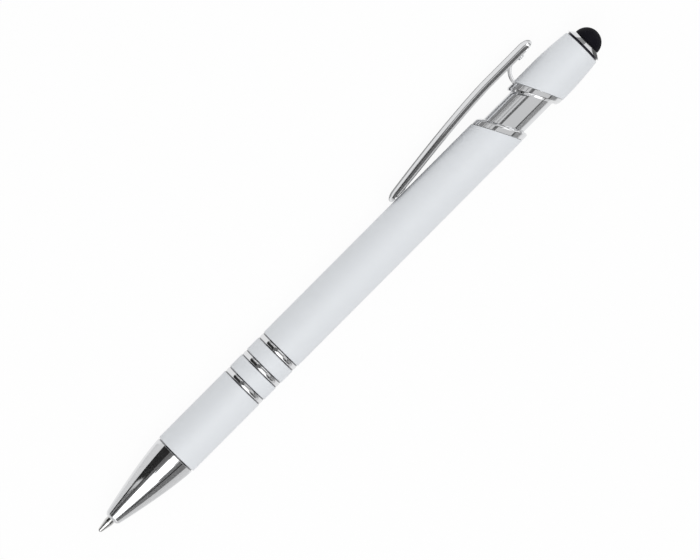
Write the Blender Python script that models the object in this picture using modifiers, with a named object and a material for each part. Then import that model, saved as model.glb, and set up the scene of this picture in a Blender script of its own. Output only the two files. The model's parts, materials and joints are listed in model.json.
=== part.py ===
"""Click ballpoint pen with a slant cut barrel, a pocket clip on its cap and a rubber stylus dome.

The pen is modelled upright in its own frame, with the axis along Z, the ball's tip at the origin
and the clip towards +X. A root empty then lays it down as it rests on a table: axis along X, the
nib towards -X, and the pen rolled until both its barrel and the edge of its clip touch the table.
It is drawn in the writing position. Sizes are in metres.
"""

import math

import bmesh
import bpy
import numpy as np
from mathutils import Matrix, Vector

# Lengths along the axis, from the ball's tip upwards
POINT_REACH = 0.00346
NOSE_LENGTH = 0.0184
BARREL_LENGTH = 0.0908
FERRULE_BAND = 0.00184
NECK_SHOWN = 0.008
COLLAR_HEIGHT = 0.00186
CAP_LENGTH = 0.0123
STYLUS_RING_HEIGHT = 0.0014

# Slants of the cut ends, from square across, lower on the clip's side
BARREL_SLANT = math.radians(27.0)
COLLAR_SLANT = math.radians(28.5)
CAP_SLANT = math.radians(25.0)

# Barrel, nose cone and trim rings
BARREL_RADIUS = 0.0048
BARREL_WALL = 0.0005
NOSE_STEP = 0.00008
NOSE_MOUTH_RADIUS = 0.00125
NOSE_LIP = 0.0005
NOSE_LIP_RADIUS = 0.00174
NOSE_CURVE = 1.4
NOSE_THROAT = 0.00095
NOSE_GROOVE = 0.0003
NOSE_GROOVE_DEPTH = 0.00027
SPIGOT_LENGTH = 0.0062
SPIGOT_WALL = 0.0007
RING_HEIGHT = 0.0015
RING_PITCH = 0.004735
RING_START = 0.01864
RING_COUNT = 3
RING_DEPTH = 0.00025
RING_SHOULDER = 0.0002
RING_FLANK = 0.00015
RING_CROWN = 0.00013

# Ferrule, plunger neck and cap
FERRULE_WALL = 0.0004
FERRULE_DEPTH = 0.009
FERRULE_BEVEL = 0.00045
FERRULE_BEVEL_HEIGHT = 0.0005
COLLAR_BEVEL = 0.0003
COLLAR_BEVEL_HEIGHT = 0.0006
NECK_WALL = 0.0005
NECK_FLANGE = 0.001
NECK_IN_CAP = 0.0051
CAP_WALL = 0.0005
CAP_TAPER = 0.0006
CAP_TAPER_LENGTH = 0.0083
CAP_CURVE = 1.6
CAP_ROOF = 0.0048
CORE_HOLE = 0.0016
CORE_SKIRT = 0.0019

# Stylus end
STYLUS_RADIUS = 0.003
STYLUS_WALL = 0.0007
STYLUS_STEM_RADIUS = 0.00185
STYLUS_STEM_LENGTH = 0.0042
STYLUS_RING_RADIUS = 0.0043
STYLUS_RING_FOOT = 0.0004
STYLUS_RING_CURVE = 1.4
STYLUS_GROOVE_RADIUS = 0.0039
STYLUS_SPIGOT_WALL = 0.0006
STYLUS_SPIGOT_LENGTH = 0.0033

# Refill, ball and return spring
BALL_RADIUS = 0.00035
POINT_LIP_RADIUS = 0.00042
POINT_LIP_HEIGHT = 0.0002
POINT_CONE_RADIUS = 0.0009
POINT_CONE_LENGTH = 0.0023
POINT_NECK_RADIUS = 0.00094
POINT_BODY_RADIUS = 0.00115
POINT_PLUG_LENGTH = 0.004
TUBE_RADIUS = 0.0015
TUBE_WALL = 0.0004
INK_LENGTH = 0.058
WING_REACH = 0.0023
WING_THICKNESS = 0.0008
WING_HEIGHT = 0.003
SPRING_SEAT_DEPTH = 0.0044
SPRING_LENGTH = 0.0213
SPRING_RADIUS = 0.00195
SPRING_WIRE = 0.0004
SPRING_TURNS = 12
SPRING_POINTS_A_TURN = 9

# Click mechanism
RETRACT_STROKE = 0.005
OVERPRESS = 0.002
SLEEVE_WALL = 0.0005
SLEEVE_BASE = 0.003
RIB_DEPTH = 0.00057
RIB_LENGTH = 0.0114
SLOT_COUNT = 4
SLOT_WIDTH = 0.0015
CROWN_TEETH = 8
CROWN_HEIGHT = 0.0008
CROWN_BORE = 0.0009
TOOTH_PEAK = 0.85
FIN_LENGTH = 0.0035
PUSH_FIN_LENGTH = 0.0063
PUSH_HEAD = 0.003
CUP_DEPTH = 0.004
CUP_FLOOR = 0.0006

# Clip
CLIP_STANDOFF = 0.00446
CLIP_NOSE_STANDOFF = 0.0015
CLIP_CURVE = 1.46
CLIP_RUN = 0.03036
CLIP_FLAT = 0.0101
CLIP_END = 0.0023
CLIP_NOSE = 0.0018
CLIP_WIDTH = 0.005
CLIP_NOSE_WIDTH = 0.0038
CLIP_DEPTH = 0.00205
CLIP_NOSE_DEPTH = 0.00155
CLIP_WALL = 0.00055
CLIP_ABOVE_JOINT = 0.0038
BEAD_LENGTH = 0.0038
BEAD_WIDTH = 0.0018
BEAD_DEPTH = 0.0014
BEAD_FROM_NOSE = 0.0032
STRAP_WIDTH = 0.0026
STRAP_THICKNESS = 0.0008
STRAP_SEAT = 0.0006
STRAP_BEND = 0.00305
STRAP_LEAD = 0.0001
STRAP_EASE = 0.475
STRAP_TONGUE = 0.003
RIVET_RADIUS = 0.0005
RIVET_HEAD_RADIUS = 0.00075
RIVET_NUB = 0.0003

# Clearances
SEAM = 0.00006
PRESS_FIT = 0.00005
SLIDE_FIT = 0.00006
AXIAL_GAP = 0.0003
STOP_GAP = 0.00015
SLOT_FIT = 0.0001
BALL_FIT = 0.00003
MOUTH_FIT = 0.00012

# Facets around a full turn
BODY_STEPS = 40
SMALL_STEPS = 20
CROWN_STEPS = 3
CLIP_FIRST_TURN = 0.22
CLIP_TIP_LEVEL = 0.4
OVERSIZE = 0.02

# Half of the clip's section, as shares of its half width and depth: wall, corner, crown, flat top
CLIP_SECTION = ((1.0, 0.0), (0.98, 0.25), (0.942, 0.5), (0.87, 0.6), (0.62, 0.81), (0.4, 0.93), (0.22, 1.0))

# Radii, worked out from the barrel's skin inwards
BORE_RADIUS = BARREL_RADIUS - BARREL_WALL
FERRULE_BORE = BORE_RADIUS - PRESS_FIT - FERRULE_WALL
NECK_RADIUS = FERRULE_BORE - SLIDE_FIT
NECK_BORE = NECK_RADIUS - NECK_WALL
SLEEVE_RADIUS = NECK_BORE - SLIDE_FIT
SLEEVE_BORE = SLEEVE_RADIUS - SLEEVE_WALL
RIB_RADIUS = SLEEVE_BORE - RIB_DEPTH
CAM_RADIUS = RIB_RADIUS - SLOT_FIT
CAP_BORE = BARREL_RADIUS - CAP_WALL
STYLUS_BORE = STYLUS_STEM_RADIUS + SLIDE_FIT
STYLUS_SPIGOT_RADIUS = STYLUS_BORE + STYLUS_SPIGOT_WALL
NOSE_BORE = POINT_NECK_RADIUS + MOUTH_FIT
SPRING_SEAT_RADIUS = SPRING_RADIUS + SPRING_WIRE / 2 + AXIAL_GAP

# Heights, worked out from the ball's tip upwards
MOUTH_Z = POINT_REACH
JOINT_Z = MOUTH_Z + NOSE_LENGTH
CUT_Z = JOINT_Z + BARREL_LENGTH
BAND_Z = CUT_Z + FERRULE_BAND
COLLAR_Z = BAND_Z + NECK_SHOWN
CAP_Z = COLLAR_Z + COLLAR_HEIGHT
CAP_TOP_Z = CAP_Z + CAP_LENGTH
DOME_Z = CAP_TOP_Z + STYLUS_RING_HEIGHT
NECK_TOP_Z = CAP_Z + NECK_IN_CAP
HEAD_Z = NECK_TOP_Z - PUSH_HEAD
SLEEVE_TOP_Z = HEAD_Z - OVERPRESS - AXIAL_GAP
RIB_Z = SLEEVE_TOP_Z - RIB_LENGTH
FIN_TOP_Z = RIB_Z - AXIAL_GAP
ROTOR_CROWN_Z = FIN_TOP_Z + AXIAL_GAP
PUSH_CROWN_Z = ROTOR_CROWN_Z + 2 * CROWN_HEIGHT + AXIAL_GAP
CUP_TOP_Z = FIN_TOP_Z - RETRACT_STROKE
REFILL_END_Z = CUP_TOP_Z - CUP_FLOOR - SEAM
FERRULE_Z = CUT_Z - FERRULE_DEPTH
NECK_FLANGE_Z = FERRULE_Z - RETRACT_STROKE - STOP_GAP
NECK_Z = NECK_FLANGE_Z - NECK_FLANGE
BASE_TOP_Z = NECK_Z - OVERPRESS - AXIAL_GAP
POINT_BODY_Z = MOUTH_Z + NOSE_THROAT + OVERPRESS + STOP_GAP
SPRING_Z = POINT_BODY_Z + SPRING_SEAT_DEPTH
TUBE_Z = SPRING_Z + OVERPRESS + STOP_GAP
WING_Z = SPRING_Z + SPRING_LENGTH
CLIP_CROWN_HEIGHT = BARREL_RADIUS + CLIP_STANDOFF
CLIP_LIP_HEIGHT = CLIP_CROWN_HEIGHT - CLIP_DEPTH
CLIP_TOP_Z = CAP_Z + CLIP_ABOVE_JOINT + CLIP_END
CLIP_FLAT_Z = CLIP_TOP_Z - CLIP_END - CLIP_FLAT
CLIP_NOSE_Z = CLIP_FLAT_Z - CLIP_RUN


def clear_scene():
    """Remove every object that the file opened with."""
    for old in list(bpy.data.objects):
        bpy.data.objects.remove(old, do_unlink=True)


def collection(name):
    """Make a collection in the scene."""
    made = bpy.data.collections.new(name)
    bpy.context.scene.collection.children.link(made)
    return made


def material(name, colour, roughness, metallic):
    """Make a Principled material."""
    made = bpy.data.materials.new(name)
    made.use_nodes = True
    shader = made.node_tree.nodes["Principled BSDF"]
    shader.inputs["Base Color"].default_value = (*colour, 1.0)
    shader.inputs["Roughness"].default_value = roughness
    shader.inputs["Metallic"].default_value = metallic
    return made


def empty(name, parent=None, at=(0.0, 0.0, 0.0)):
    """Make an empty that carries a group of pieces."""
    made = bpy.data.objects.new(name, None)
    made.empty_display_size = 0.004
    made.location = at
    made.parent = parent
    PARTS.objects.link(made)
    return made


def piece(name, mesh, parent, finish, at=(0.0, 0.0, 0.0)):
    """Put a mesh or a curve into the scene as one named piece."""
    made = bpy.data.objects.new(name, mesh)
    made.location = at
    made.parent = parent
    if finish:
        mesh.materials.append(finish)
    PARTS.objects.link(made)
    return made


def cutter(name, mesh, at=(0.0, 0.0, 0.0), turn=(0.0, 0.0, 0.0)):
    """Put a mesh into the scene as a helper that only cuts or joins other pieces."""
    made = bpy.data.objects.new(name, mesh)
    made.location = at
    made.rotation_euler = turn
    made.parent = PEN
    made.hide_render = True
    made.display_type = "WIRE"
    CUTTERS.objects.link(made)
    return made


def combine(target, tool, operation="DIFFERENCE"):
    """Cut a helper out of a piece, or join it on."""
    boolean = target.modifiers.new(f"{operation.lower()} {tool.name}", "BOOLEAN")
    boolean.operation = operation
    boolean.solver = "EXACT"
    boolean.object = tool


def box_mesh(name, size):
    """Make a box mesh about its own centre."""
    mesh = bpy.data.meshes.new(name)
    shape = bmesh.new()
    bmesh.ops.create_cube(shape, size=1.0, matrix=Matrix.Diagonal((*size, 1.0)))
    shape.to_mesh(mesh)
    shape.free()
    return mesh


def rod_mesh(name, radius, length, steps):
    """Make a closed cylinder mesh about its own centre, along Z."""
    mesh = bpy.data.meshes.new(name)
    shape = bmesh.new()
    bmesh.ops.create_cone(
        shape, cap_ends=True, segments=steps, radius1=radius, radius2=radius, depth=length
    )
    shape.to_mesh(mesh)
    shape.free()
    return mesh


def ball_mesh(name, radii, around, along):
    """Make a ball mesh about its own centre, with a radius along each axis."""
    mesh = bpy.data.meshes.new(name)
    shape = bmesh.new()
    stretch = Matrix.Diagonal((*radii, 1.0))
    bmesh.ops.create_uvsphere(shape, u_segments=around, v_segments=along, radius=1.0, matrix=stretch)
    shape.to_mesh(mesh)
    shape.free()
    mesh.shade_smooth()
    return mesh


def skin_mesh(name, points, faces):
    """Make a closed mesh from points and faces, in triangles and facing outwards."""
    mesh = bpy.data.meshes.new(name)
    mesh.from_pydata(points, [], faces)
    shape = bmesh.new()
    shape.from_mesh(mesh)
    bmesh.ops.triangulate(shape, faces=shape.faces)
    bmesh.ops.recalc_face_normals(shape, faces=shape.faces)
    shape.to_mesh(mesh)
    shape.free()
    return mesh


def hoop_mesh(name, rings):
    """Make a closed mesh that joins each ring of points to the next, and the last to the first."""
    count = len(rings[0])
    faces = []
    for ring in range(len(rings)):
        here, there = ring * count, (ring + 1) % len(rings) * count
        for i in range(count):
            j = (i + 1) % count
            faces.append((here + i, here + j, there + j, there + i))
    return skin_mesh(name, np.concatenate(rings).tolist(), faces)


def turned(name, profile, parent, finish, steps=BODY_STEPS, at_z=0.0, closed=True):
    """Turn a profile of (radius, height) points about Z.

    The points run down the outer side first. A closed profile makes a ring or a tube, and an open one
    starts and ends on the axis.
    """
    mesh = bpy.data.meshes.new(name)
    points = [(radius, 0.0, height) for radius, height in profile]
    count = len(points)
    edges = [(i, (i + 1) % count) for i in range(count if closed else count - 1)]
    mesh.from_pydata(points, edges, [])
    made = piece(name, mesh, parent, finish, (0.0, 0.0, at_z))
    screw = made.modifiers.new("turn", "SCREW")
    screw.steps = steps
    screw.render_steps = steps
    screw.use_merge_vertices = True
    screw.merge_threshold = 1e-6
    screw.use_smooth_shade = True
    return made


def tube_profile(outer, inner, low, high):
    """The profile of a plain tube."""
    return [(outer, high), (outer, low), (inner, low), (inner, high)]


def slanted_slab(name, height, slant, above):
    """A block on one side of a plane that crosses the axis at a height and falls towards the clip."""
    normal = Vector((math.sin(slant), 0.0, math.cos(slant)))
    side = OVERSIZE / 2 if above else -OVERSIZE / 2
    centre = Vector((0.0, 0.0, height)) + normal * side
    return cutter(name, box_mesh(name, (OVERSIZE, OVERSIZE, OVERSIZE)), centre, (0.0, slant, 0.0))


def toothed_tube(name, outer, inner, flat_z, root_z, height):
    """Make a tube with one flat end and one end of ramped teeth, which climb slowly and drop fast."""
    steps = np.linspace(0.0, TOOTH_PEAK, CROWN_STEPS)
    rise = steps / TOOTH_PEAK * height
    turns = (np.arange(CROWN_TEETH)[:, None] + steps) / CROWN_TEETH
    angles = 2 * math.pi * turns.ravel()
    tooth_z = root_z + np.tile(rise, CROWN_TEETH)
    flat = np.full_like(tooth_z, flat_z)
    corners = ((outer, flat), (outer, tooth_z), (inner, tooth_z), (inner, flat))
    rings = [np.stack((r * np.cos(angles), r * np.sin(angles), z), axis=1) for r, z in corners]
    return hoop_mesh(name, rings)


def slanted_tube(name, rows, parent, finish):
    """Make a ring or a tube whose edges are slanted cuts.

    Each row is a radius, a height and the slant of its edge, which falls towards the clip.
    """
    angles = np.array(around_axis(BODY_STEPS))
    rings = []
    for radius, height, slant in rows:
        x, y = radius * np.cos(angles), radius * np.sin(angles)
        rings.append(np.stack((x, y, height - math.tan(slant) * x), axis=1))
    return piece(name, hoop_mesh(name, rings), parent, finish)


def around_axis(count):
    """The angles of a number of places spread evenly about the axis."""
    return [2 * math.pi * i / count for i in range(count)]


def spokes(name, low, high, root, tip, width):
    """Make a helper of equal blocks about the axis, one for each slot of the cam sleeve."""
    mesh = bpy.data.meshes.new(name)
    shape = bmesh.new()
    block = Matrix.Translation(((root + tip) / 2, 0.0, (low + high) / 2))
    block = block @ Matrix.Diagonal((tip - root, width, high - low, 1.0))
    for angle in around_axis(SLOT_COUNT):
        bmesh.ops.create_cube(shape, size=1.0, matrix=Matrix.Rotation(angle, 4, "Z") @ block)
    shape.to_mesh(mesh)
    shape.free()
    return cutter(name, mesh)


def flat_reach(radius, width):
    """How far a flat end of this width can reach before its corners pass a radius."""
    return math.sqrt(radius**2 - (width / 2) ** 2)


def nose_radius(height):
    """The nose cone's outer radius: steep behind the lip, then flattening to the barrel."""
    base = BARREL_RADIUS - NOSE_STEP
    share = (height - MOUTH_Z - NOSE_LIP) / (NOSE_LENGTH - NOSE_LIP)
    return base - (base - NOSE_LIP_RADIUS) * (1 - share) ** NOSE_CURVE


def cap_radius(height):
    """The cap's outer radius: straight at first, then drawn in towards the stylus."""
    run = max(0.0, height - (CAP_TOP_Z - CAP_TAPER_LENGTH))
    return BARREL_RADIUS - CAP_TAPER * (run / CAP_TAPER_LENGTH) ** CAP_CURVE


def build_nose_cone(finish):
    """Hollow bright cone, with a spigot that holds it in the barrel and a shoulder for the spring."""
    shoulder = SPRING_Z - SEAM
    spigot = BORE_RADIUS - PRESS_FIT
    groove = BARREL_RADIUS - NOSE_STEP - NOSE_GROOVE_DEPTH
    outside = [
        (nose_radius(z), z)
        for z in np.linspace(JOINT_Z - NOSE_GROOVE, MOUTH_Z + NOSE_LIP, 9)
    ]
    lip = (NOSE_LIP_RADIUS + NOSE_MOUTH_RADIUS) / 2
    widen = shoulder + SPRING_SEAT_RADIUS
    profile = [
        (spigot, JOINT_Z + SPIGOT_LENGTH),
        (spigot, JOINT_Z - SEAM),
        (groove, JOINT_Z - SEAM),
        (groove, JOINT_Z - NOSE_GROOVE),
        *outside,
        (lip + NOSE_LIP / 3, MOUTH_Z + NOSE_LIP / 3),
        (NOSE_MOUTH_RADIUS, MOUTH_Z),
        (NOSE_BORE, MOUTH_Z),
        (NOSE_BORE, MOUTH_Z + NOSE_THROAT),
        (POINT_BODY_RADIUS + MOUTH_FIT, MOUTH_Z + NOSE_THROAT),
        (POINT_BODY_RADIUS + MOUTH_FIT, shoulder),
        (SPRING_SEAT_RADIUS, shoulder),
        (SPRING_SEAT_RADIUS, widen),
        (spigot - SPIGOT_WALL, JOINT_Z),
        (spigot - SPIGOT_WALL, JOINT_Z + SPIGOT_LENGTH),
    ]
    turned("nose_cone", profile, PEN, finish)


def ring_heights():
    """The lower edge of each trim ring."""
    return [JOINT_Z + RING_START + i * RING_PITCH for i in range(RING_COUNT)]


def build_barrel(finish):
    """Aluminium tube with a groove for each trim ring and a slanted upper end."""
    floor = BARREL_RADIUS - RING_DEPTH
    outside = [(BARREL_RADIUS, CUT_Z + OVERSIZE / 4)]
    for low in reversed(ring_heights()):
        high = low + RING_HEIGHT
        outside += [(BARREL_RADIUS, high), (floor, high), (floor, low), (BARREL_RADIUS, low)]
    bottom = [(BARREL_RADIUS, JOINT_Z), (BORE_RADIUS, JOINT_Z)]
    barrel = turned(
        "barrel", outside + bottom + [(BORE_RADIUS, CUT_Z + OVERSIZE / 4)], PEN, finish
    )
    combine(barrel, slanted_slab("above barrel", CUT_Z, BARREL_SLANT, True))


def build_trim_rings(finish):
    """Three bright rings with a raised face between two low shoulders, each in its groove."""
    inner = BARREL_RADIUS - RING_DEPTH + SEAM / 2
    edge = BARREL_RADIUS - RING_CROWN
    high = RING_HEIGHT - SEAM
    profile = [
        (edge, high),
        (edge, high - RING_SHOULDER),
        (BARREL_RADIUS, high - RING_SHOULDER - RING_FLANK),
        (BARREL_RADIUS, SEAM + RING_SHOULDER + RING_FLANK),
        (edge, SEAM + RING_SHOULDER),
        (edge, SEAM),
        (inner, SEAM),
        (inner, high),
    ]
    for name, low in zip(("lower", "middle", "upper"), ring_heights()):
        turned(f"trim_ring_{name}", profile, PEN, finish, at_z=low)


def build_ferrule(finish):
    """Bright sleeve in the barrel's mouth, whose bevelled, slanted lip covers the barrel's end."""
    sleeve = BORE_RADIUS - PRESS_FIT
    rows = [
        (FERRULE_BORE, BAND_Z, BARREL_SLANT),
        (BARREL_RADIUS - FERRULE_BEVEL, BAND_Z, BARREL_SLANT),
        (BARREL_RADIUS, BAND_Z - FERRULE_BEVEL_HEIGHT, BARREL_SLANT),
        (BARREL_RADIUS, CUT_Z + SEAM, BARREL_SLANT),
        (sleeve, CUT_Z + SEAM, BARREL_SLANT),
        (sleeve, FERRULE_Z, 0.0),
        (FERRULE_BORE, FERRULE_Z, 0.0),
    ]
    slanted_tube("barrel_ferrule", rows, PEN, finish)


def build_neck(finish):
    """Bright plunger tube, with a flange that stops it under the ferrule."""
    flange = BORE_RADIUS - SLIDE_FIT
    profile = [
        (NECK_RADIUS, NECK_TOP_Z),
        (NECK_RADIUS, NECK_FLANGE_Z),
        (flange, NECK_FLANGE_Z),
        (flange, NECK_Z),
        (NECK_BORE, NECK_Z),
        (NECK_BORE, NECK_TOP_Z),
    ]
    turned("plunger_neck", profile, PLUNGER, finish)


def strap_notch():
    """The slot between collar and cap that the clip's strap comes out of, square to the cap's slant."""
    size = (BARREL_RADIUS, STRAP_WIDTH + 2 * SLOT_FIT, STRAP_THICKNESS + 2 * SEAM)
    along = Vector((math.cos(CAP_SLANT), 0.0, -math.sin(CAP_SLANT)))
    root = (NECK_RADIUS + SEAM) / math.cos(CAP_SLANT)
    centre = Vector((0.0, 0.0, CAP_Z)) + along * (root + BARREL_RADIUS / 2)
    return cutter("strap notch", box_mesh("strap notch", size), centre, (0.0, CAP_SLANT, 0.0))


def build_collar(finish, notch):
    """Bright collar under the cap, slanted on both faces, bevelled below, thicker on the clip's side."""
    bore = NECK_RADIUS + PRESS_FIT
    rows = [
        (bore, CAP_Z - SEAM, CAP_SLANT),
        (BARREL_RADIUS, CAP_Z - SEAM, CAP_SLANT),
        (BARREL_RADIUS, COLLAR_Z + COLLAR_BEVEL_HEIGHT, COLLAR_SLANT),
        (BARREL_RADIUS - COLLAR_BEVEL, COLLAR_Z, COLLAR_SLANT),
        (bore, COLLAR_Z, COLLAR_SLANT),
    ]
    combine(slanted_tube("clip_collar", rows, PLUNGER, finish), notch)


def build_cap(finish, notch):
    """White cap: slanted below, drawn in above, with a hole in its roof for the stylus."""
    roof = CAP_TOP_Z - CAP_ROOF
    low = CAP_Z - OVERSIZE / 4
    hole = STYLUS_SPIGOT_RADIUS + PRESS_FIT
    taper = np.linspace(CAP_TOP_Z, CAP_TOP_Z - CAP_TAPER_LENGTH, 7)
    profile = [(cap_radius(z), z) for z in taper]
    profile += [(BARREL_RADIUS, low), (CAP_BORE, low), (CAP_BORE, roof), (hole, roof), (hole, CAP_TOP_Z)]
    cap = turned("cap", profile, PLUNGER, finish)
    combine(cap, slanted_slab("below cap", CAP_Z, CAP_SLANT, False))
    combine(cap, notch)


def build_cap_core(finish):
    """Plastic core that joins the cap to the plunger neck."""
    outer = CAP_BORE - PRESS_FIT
    inner = NECK_RADIUS + PRESS_FIT
    top = CAP_TOP_Z - CAP_ROOF - SEAM
    bottom = NECK_TOP_Z - CORE_SKIRT
    roof = NECK_TOP_Z + SEAM
    profile = [
        (outer, top),
        (outer, bottom),
        (inner, bottom),
        (inner, roof),
        (CORE_HOLE, roof),
        (CORE_HOLE, top),
    ]
    turned("cap_core", profile, PLUNGER, finish)


def build_stylus(ring_finish, rubber):
    """Bright ring with a spigot in the cap's roof, and the hollow rubber dome that plugs into it."""
    low = CAP_TOP_Z + SEAM
    rise = DOME_Z - low - STYLUS_RING_FOOT
    flank = [
        (
            STYLUS_RING_RADIUS - (STYLUS_RING_RADIUS - STYLUS_RADIUS) * share**STYLUS_RING_CURVE,
            low + STYLUS_RING_FOOT + rise * share,
        )
        for share in np.linspace(1.0, 0.0, 5)
    ]
    bottom = low - STYLUS_SPIGOT_LENGTH
    ring = [
        *flank,
        (STYLUS_GROOVE_RADIUS, low + STYLUS_RING_FOOT),
        (STYLUS_GROOVE_RADIUS, low),
        (STYLUS_SPIGOT_RADIUS, low),
        (STYLUS_SPIGOT_RADIUS, bottom),
        (STYLUS_BORE, bottom),
        (STYLUS_BORE, DOME_Z),
    ]
    turned("stylus_ring", ring, PLUNGER, ring_finish)
    base = DOME_Z + SEAM
    hollow = STYLUS_RADIUS - STYLUS_WALL
    stem_bore = STYLUS_STEM_RADIUS - STYLUS_WALL
    cavity = hollow - STYLUS_WALL
    crown = base + STYLUS_RADIUS
    arc = np.linspace(math.pi / 2, 0.0, 7)[1:]
    hollow_arc = np.linspace(0.0, math.pi / 2, 5)[:-1]
    profile = [
        (0.0, crown),
        *[(STYLUS_RADIUS * math.cos(a), base + STYLUS_RADIUS * math.sin(a)) for a in arc],
        (STYLUS_STEM_RADIUS, base),
        (STYLUS_STEM_RADIUS, base - STYLUS_STEM_LENGTH),
        (stem_bore, base - STYLUS_STEM_LENGTH),
        (stem_bore, base),
        *[(hollow * math.cos(a), base + STYLUS_WALL + cavity * math.sin(a)) for a in hollow_arc],
        (0.0, base + STYLUS_WALL + cavity),
    ]
    turned("stylus_tip", profile, PLUNGER, rubber, closed=False)


def build_refill(point_finish, tube_finish, ink_finish, ball_finish):
    """Writing point with its ball, and the ink tube with two crimped wings."""
    seat = BALL_RADIUS + BALL_FIT
    plug = TUBE_RADIUS - TUBE_WALL - PRESS_FIT
    plug_top = TUBE_Z + POINT_PLUG_LENGTH
    cone_top = POINT_LIP_HEIGHT + POINT_CONE_LENGTH
    lip_bore = math.sqrt(BALL_RADIUS**2 - (BALL_RADIUS - POINT_LIP_HEIGHT) ** 2) + BALL_FIT
    point = [
        (0.0, plug_top),
        (plug, plug_top),
        (plug, TUBE_Z - SEAM),
        (POINT_BODY_RADIUS, TUBE_Z - SEAM),
        (POINT_BODY_RADIUS, POINT_BODY_Z),
        (POINT_NECK_RADIUS, POINT_BODY_Z - (POINT_BODY_RADIUS - POINT_NECK_RADIUS)),
        (POINT_NECK_RADIUS, cone_top + POINT_NECK_RADIUS - POINT_CONE_RADIUS),
        (POINT_CONE_RADIUS, cone_top),
        (POINT_LIP_RADIUS, POINT_LIP_HEIGHT),
        (lip_bore, POINT_LIP_HEIGHT),
        (seat, BALL_RADIUS),
        (seat, BALL_RADIUS + seat / 2),
        (0.0, BALL_RADIUS + seat),
    ]
    turned("refill_point", point, REFILL, point_finish, SMALL_STEPS, closed=False)
    tube = turned(
        "refill_tube",
        tube_profile(TUBE_RADIUS, TUBE_RADIUS - TUBE_WALL, TUBE_Z, REFILL_END_Z),
        REFILL,
        tube_finish,
        SMALL_STEPS,
    )
    gap = TUBE_RADIUS - TUBE_WALL / 2
    wing = (WING_REACH - gap, WING_THICKNESS, WING_HEIGHT)
    for number, angle in enumerate(around_axis(2), 1):
        name = f"crimped wing {number}"
        reach = (WING_REACH + gap) / 2
        place = (reach * math.cos(angle), reach * math.sin(angle), WING_Z + WING_HEIGHT / 2)
        combine(tube, cutter(name, box_mesh(name, wing), place), "UNION")
    low = plug_top + SEAM
    turned(
        "ink",
        [(0.0, low + INK_LENGTH), (plug, low + INK_LENGTH), (plug, low), (0.0, low)],
        REFILL,
        ink_finish,
        SMALL_STEPS,
        closed=False,
    )
    ball = ball_mesh("writing_ball", (BALL_RADIUS, BALL_RADIUS, BALL_RADIUS), 14, 9)
    piece("writing_ball", ball, BALL, ball_finish)


def spring_points():
    """Points along the coil, from the nose cone's shoulder to the refill's wings."""
    count = SPRING_TURNS * SPRING_POINTS_A_TURN
    share = np.linspace(0.0, 1.0, count + 1)
    angle = 2 * math.pi * SPRING_TURNS * share
    low = SPRING_Z + SPRING_WIRE / 2
    high = WING_Z - SPRING_WIRE / 2 - SEAM
    height = low + (high - low) * share
    return np.stack((SPRING_RADIUS * np.cos(angle), SPRING_RADIUS * np.sin(angle), height), axis=1)


def build_spring(finish):
    """Return spring, one unbroken wire."""
    points = spring_points()
    wire = bpy.data.curves.new("return_spring", "CURVE")
    wire.dimensions = "3D"
    wire.bevel_depth = SPRING_WIRE / 2
    wire.bevel_resolution = 1
    wire.use_fill_caps = True
    spline = wire.splines.new("POLY")
    spline.points.add(len(points) - 1)
    spline.points.foreach_set("co", np.c_[points, np.ones(len(points))].ravel())
    piece("return_spring", wire, PEN, finish)
    apart = np.linalg.norm(points[:, None] - points[None], axis=2)
    rows = np.arange(len(points))
    far = np.abs(rows[:, None] - rows[None]) > SPRING_POINTS_A_TURN // 2
    gap = apart[far].min() - SPRING_WIRE
    print(f"return_spring: least gap to itself {1000 * gap:.2f} mm")


def build_cam_sleeve(finish):
    """Fixed sleeve of the click mechanism: a press-fit base, and ribs with saw-toothed lower ends."""
    base = BORE_RADIUS - PRESS_FIT
    profile = [
        (SLEEVE_RADIUS, SLEEVE_TOP_Z),
        (SLEEVE_RADIUS, BASE_TOP_Z),
        (base, BASE_TOP_Z),
        (base, BASE_TOP_Z - SLEEVE_BASE),
        (SLEEVE_BORE, BASE_TOP_Z - SLEEVE_BASE),
        (SLEEVE_BORE, SLEEVE_TOP_Z),
    ]
    sleeve = turned("cam_sleeve", profile, PEN, finish)
    buried = SLEEVE_BORE + SLEEVE_WALL / 2
    top = SLEEVE_TOP_Z - SLEEVE_WALL
    ribs = toothed_tube("ribs", buried, RIB_RADIUS, top, RIB_Z, CROWN_HEIGHT)
    combine(sleeve, cutter("ribs", ribs), "UNION")
    floor = flat_reach(SLEEVE_BORE - SEAM / 2, SLOT_WIDTH)
    low = RIB_Z - CROWN_HEIGHT
    combine(sleeve, spokes("cam slots", low, SLEEVE_TOP_Z + CROWN_HEIGHT, SLOT_WIDTH, floor, SLOT_WIDTH))


def fin_tip():
    """How far the fins of both cams reach into the slots."""
    return flat_reach(SLEEVE_BORE - SEAM / 2, SLOT_WIDTH) - SLOT_FIT


def build_rotor(finish):
    """Turning cam: a cup on the refill's end, four fins and a toothed crown."""
    cup = fin_tip()
    socket = TUBE_RADIUS + SLIDE_FIT
    floor = CUP_TOP_Z - CUP_FLOOR
    low = floor - CUP_DEPTH
    profile = [
        (cup, CUP_TOP_Z),
        (cup, low),
        (socket, low),
        (socket, floor),
        (CROWN_BORE, floor),
        (CROWN_BORE, CUP_TOP_Z),
    ]
    rotor = turned("rotor", profile, ROTOR, finish, SMALL_STEPS)
    foot = CUP_TOP_Z - CUP_FLOOR / 2
    crown = toothed_tube("rotor crown", CAM_RADIUS, CROWN_BORE - SEAM, foot, ROTOR_CROWN_Z, CROWN_HEIGHT)
    combine(rotor, cutter("rotor crown", crown), "UNION")
    width = SLOT_WIDTH - 2 * SLOT_FIT
    fins = spokes("rotor fins", FIN_TOP_Z - FIN_LENGTH, FIN_TOP_Z, CROWN_BORE, cup, width)
    combine(rotor, fins, "UNION")


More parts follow.
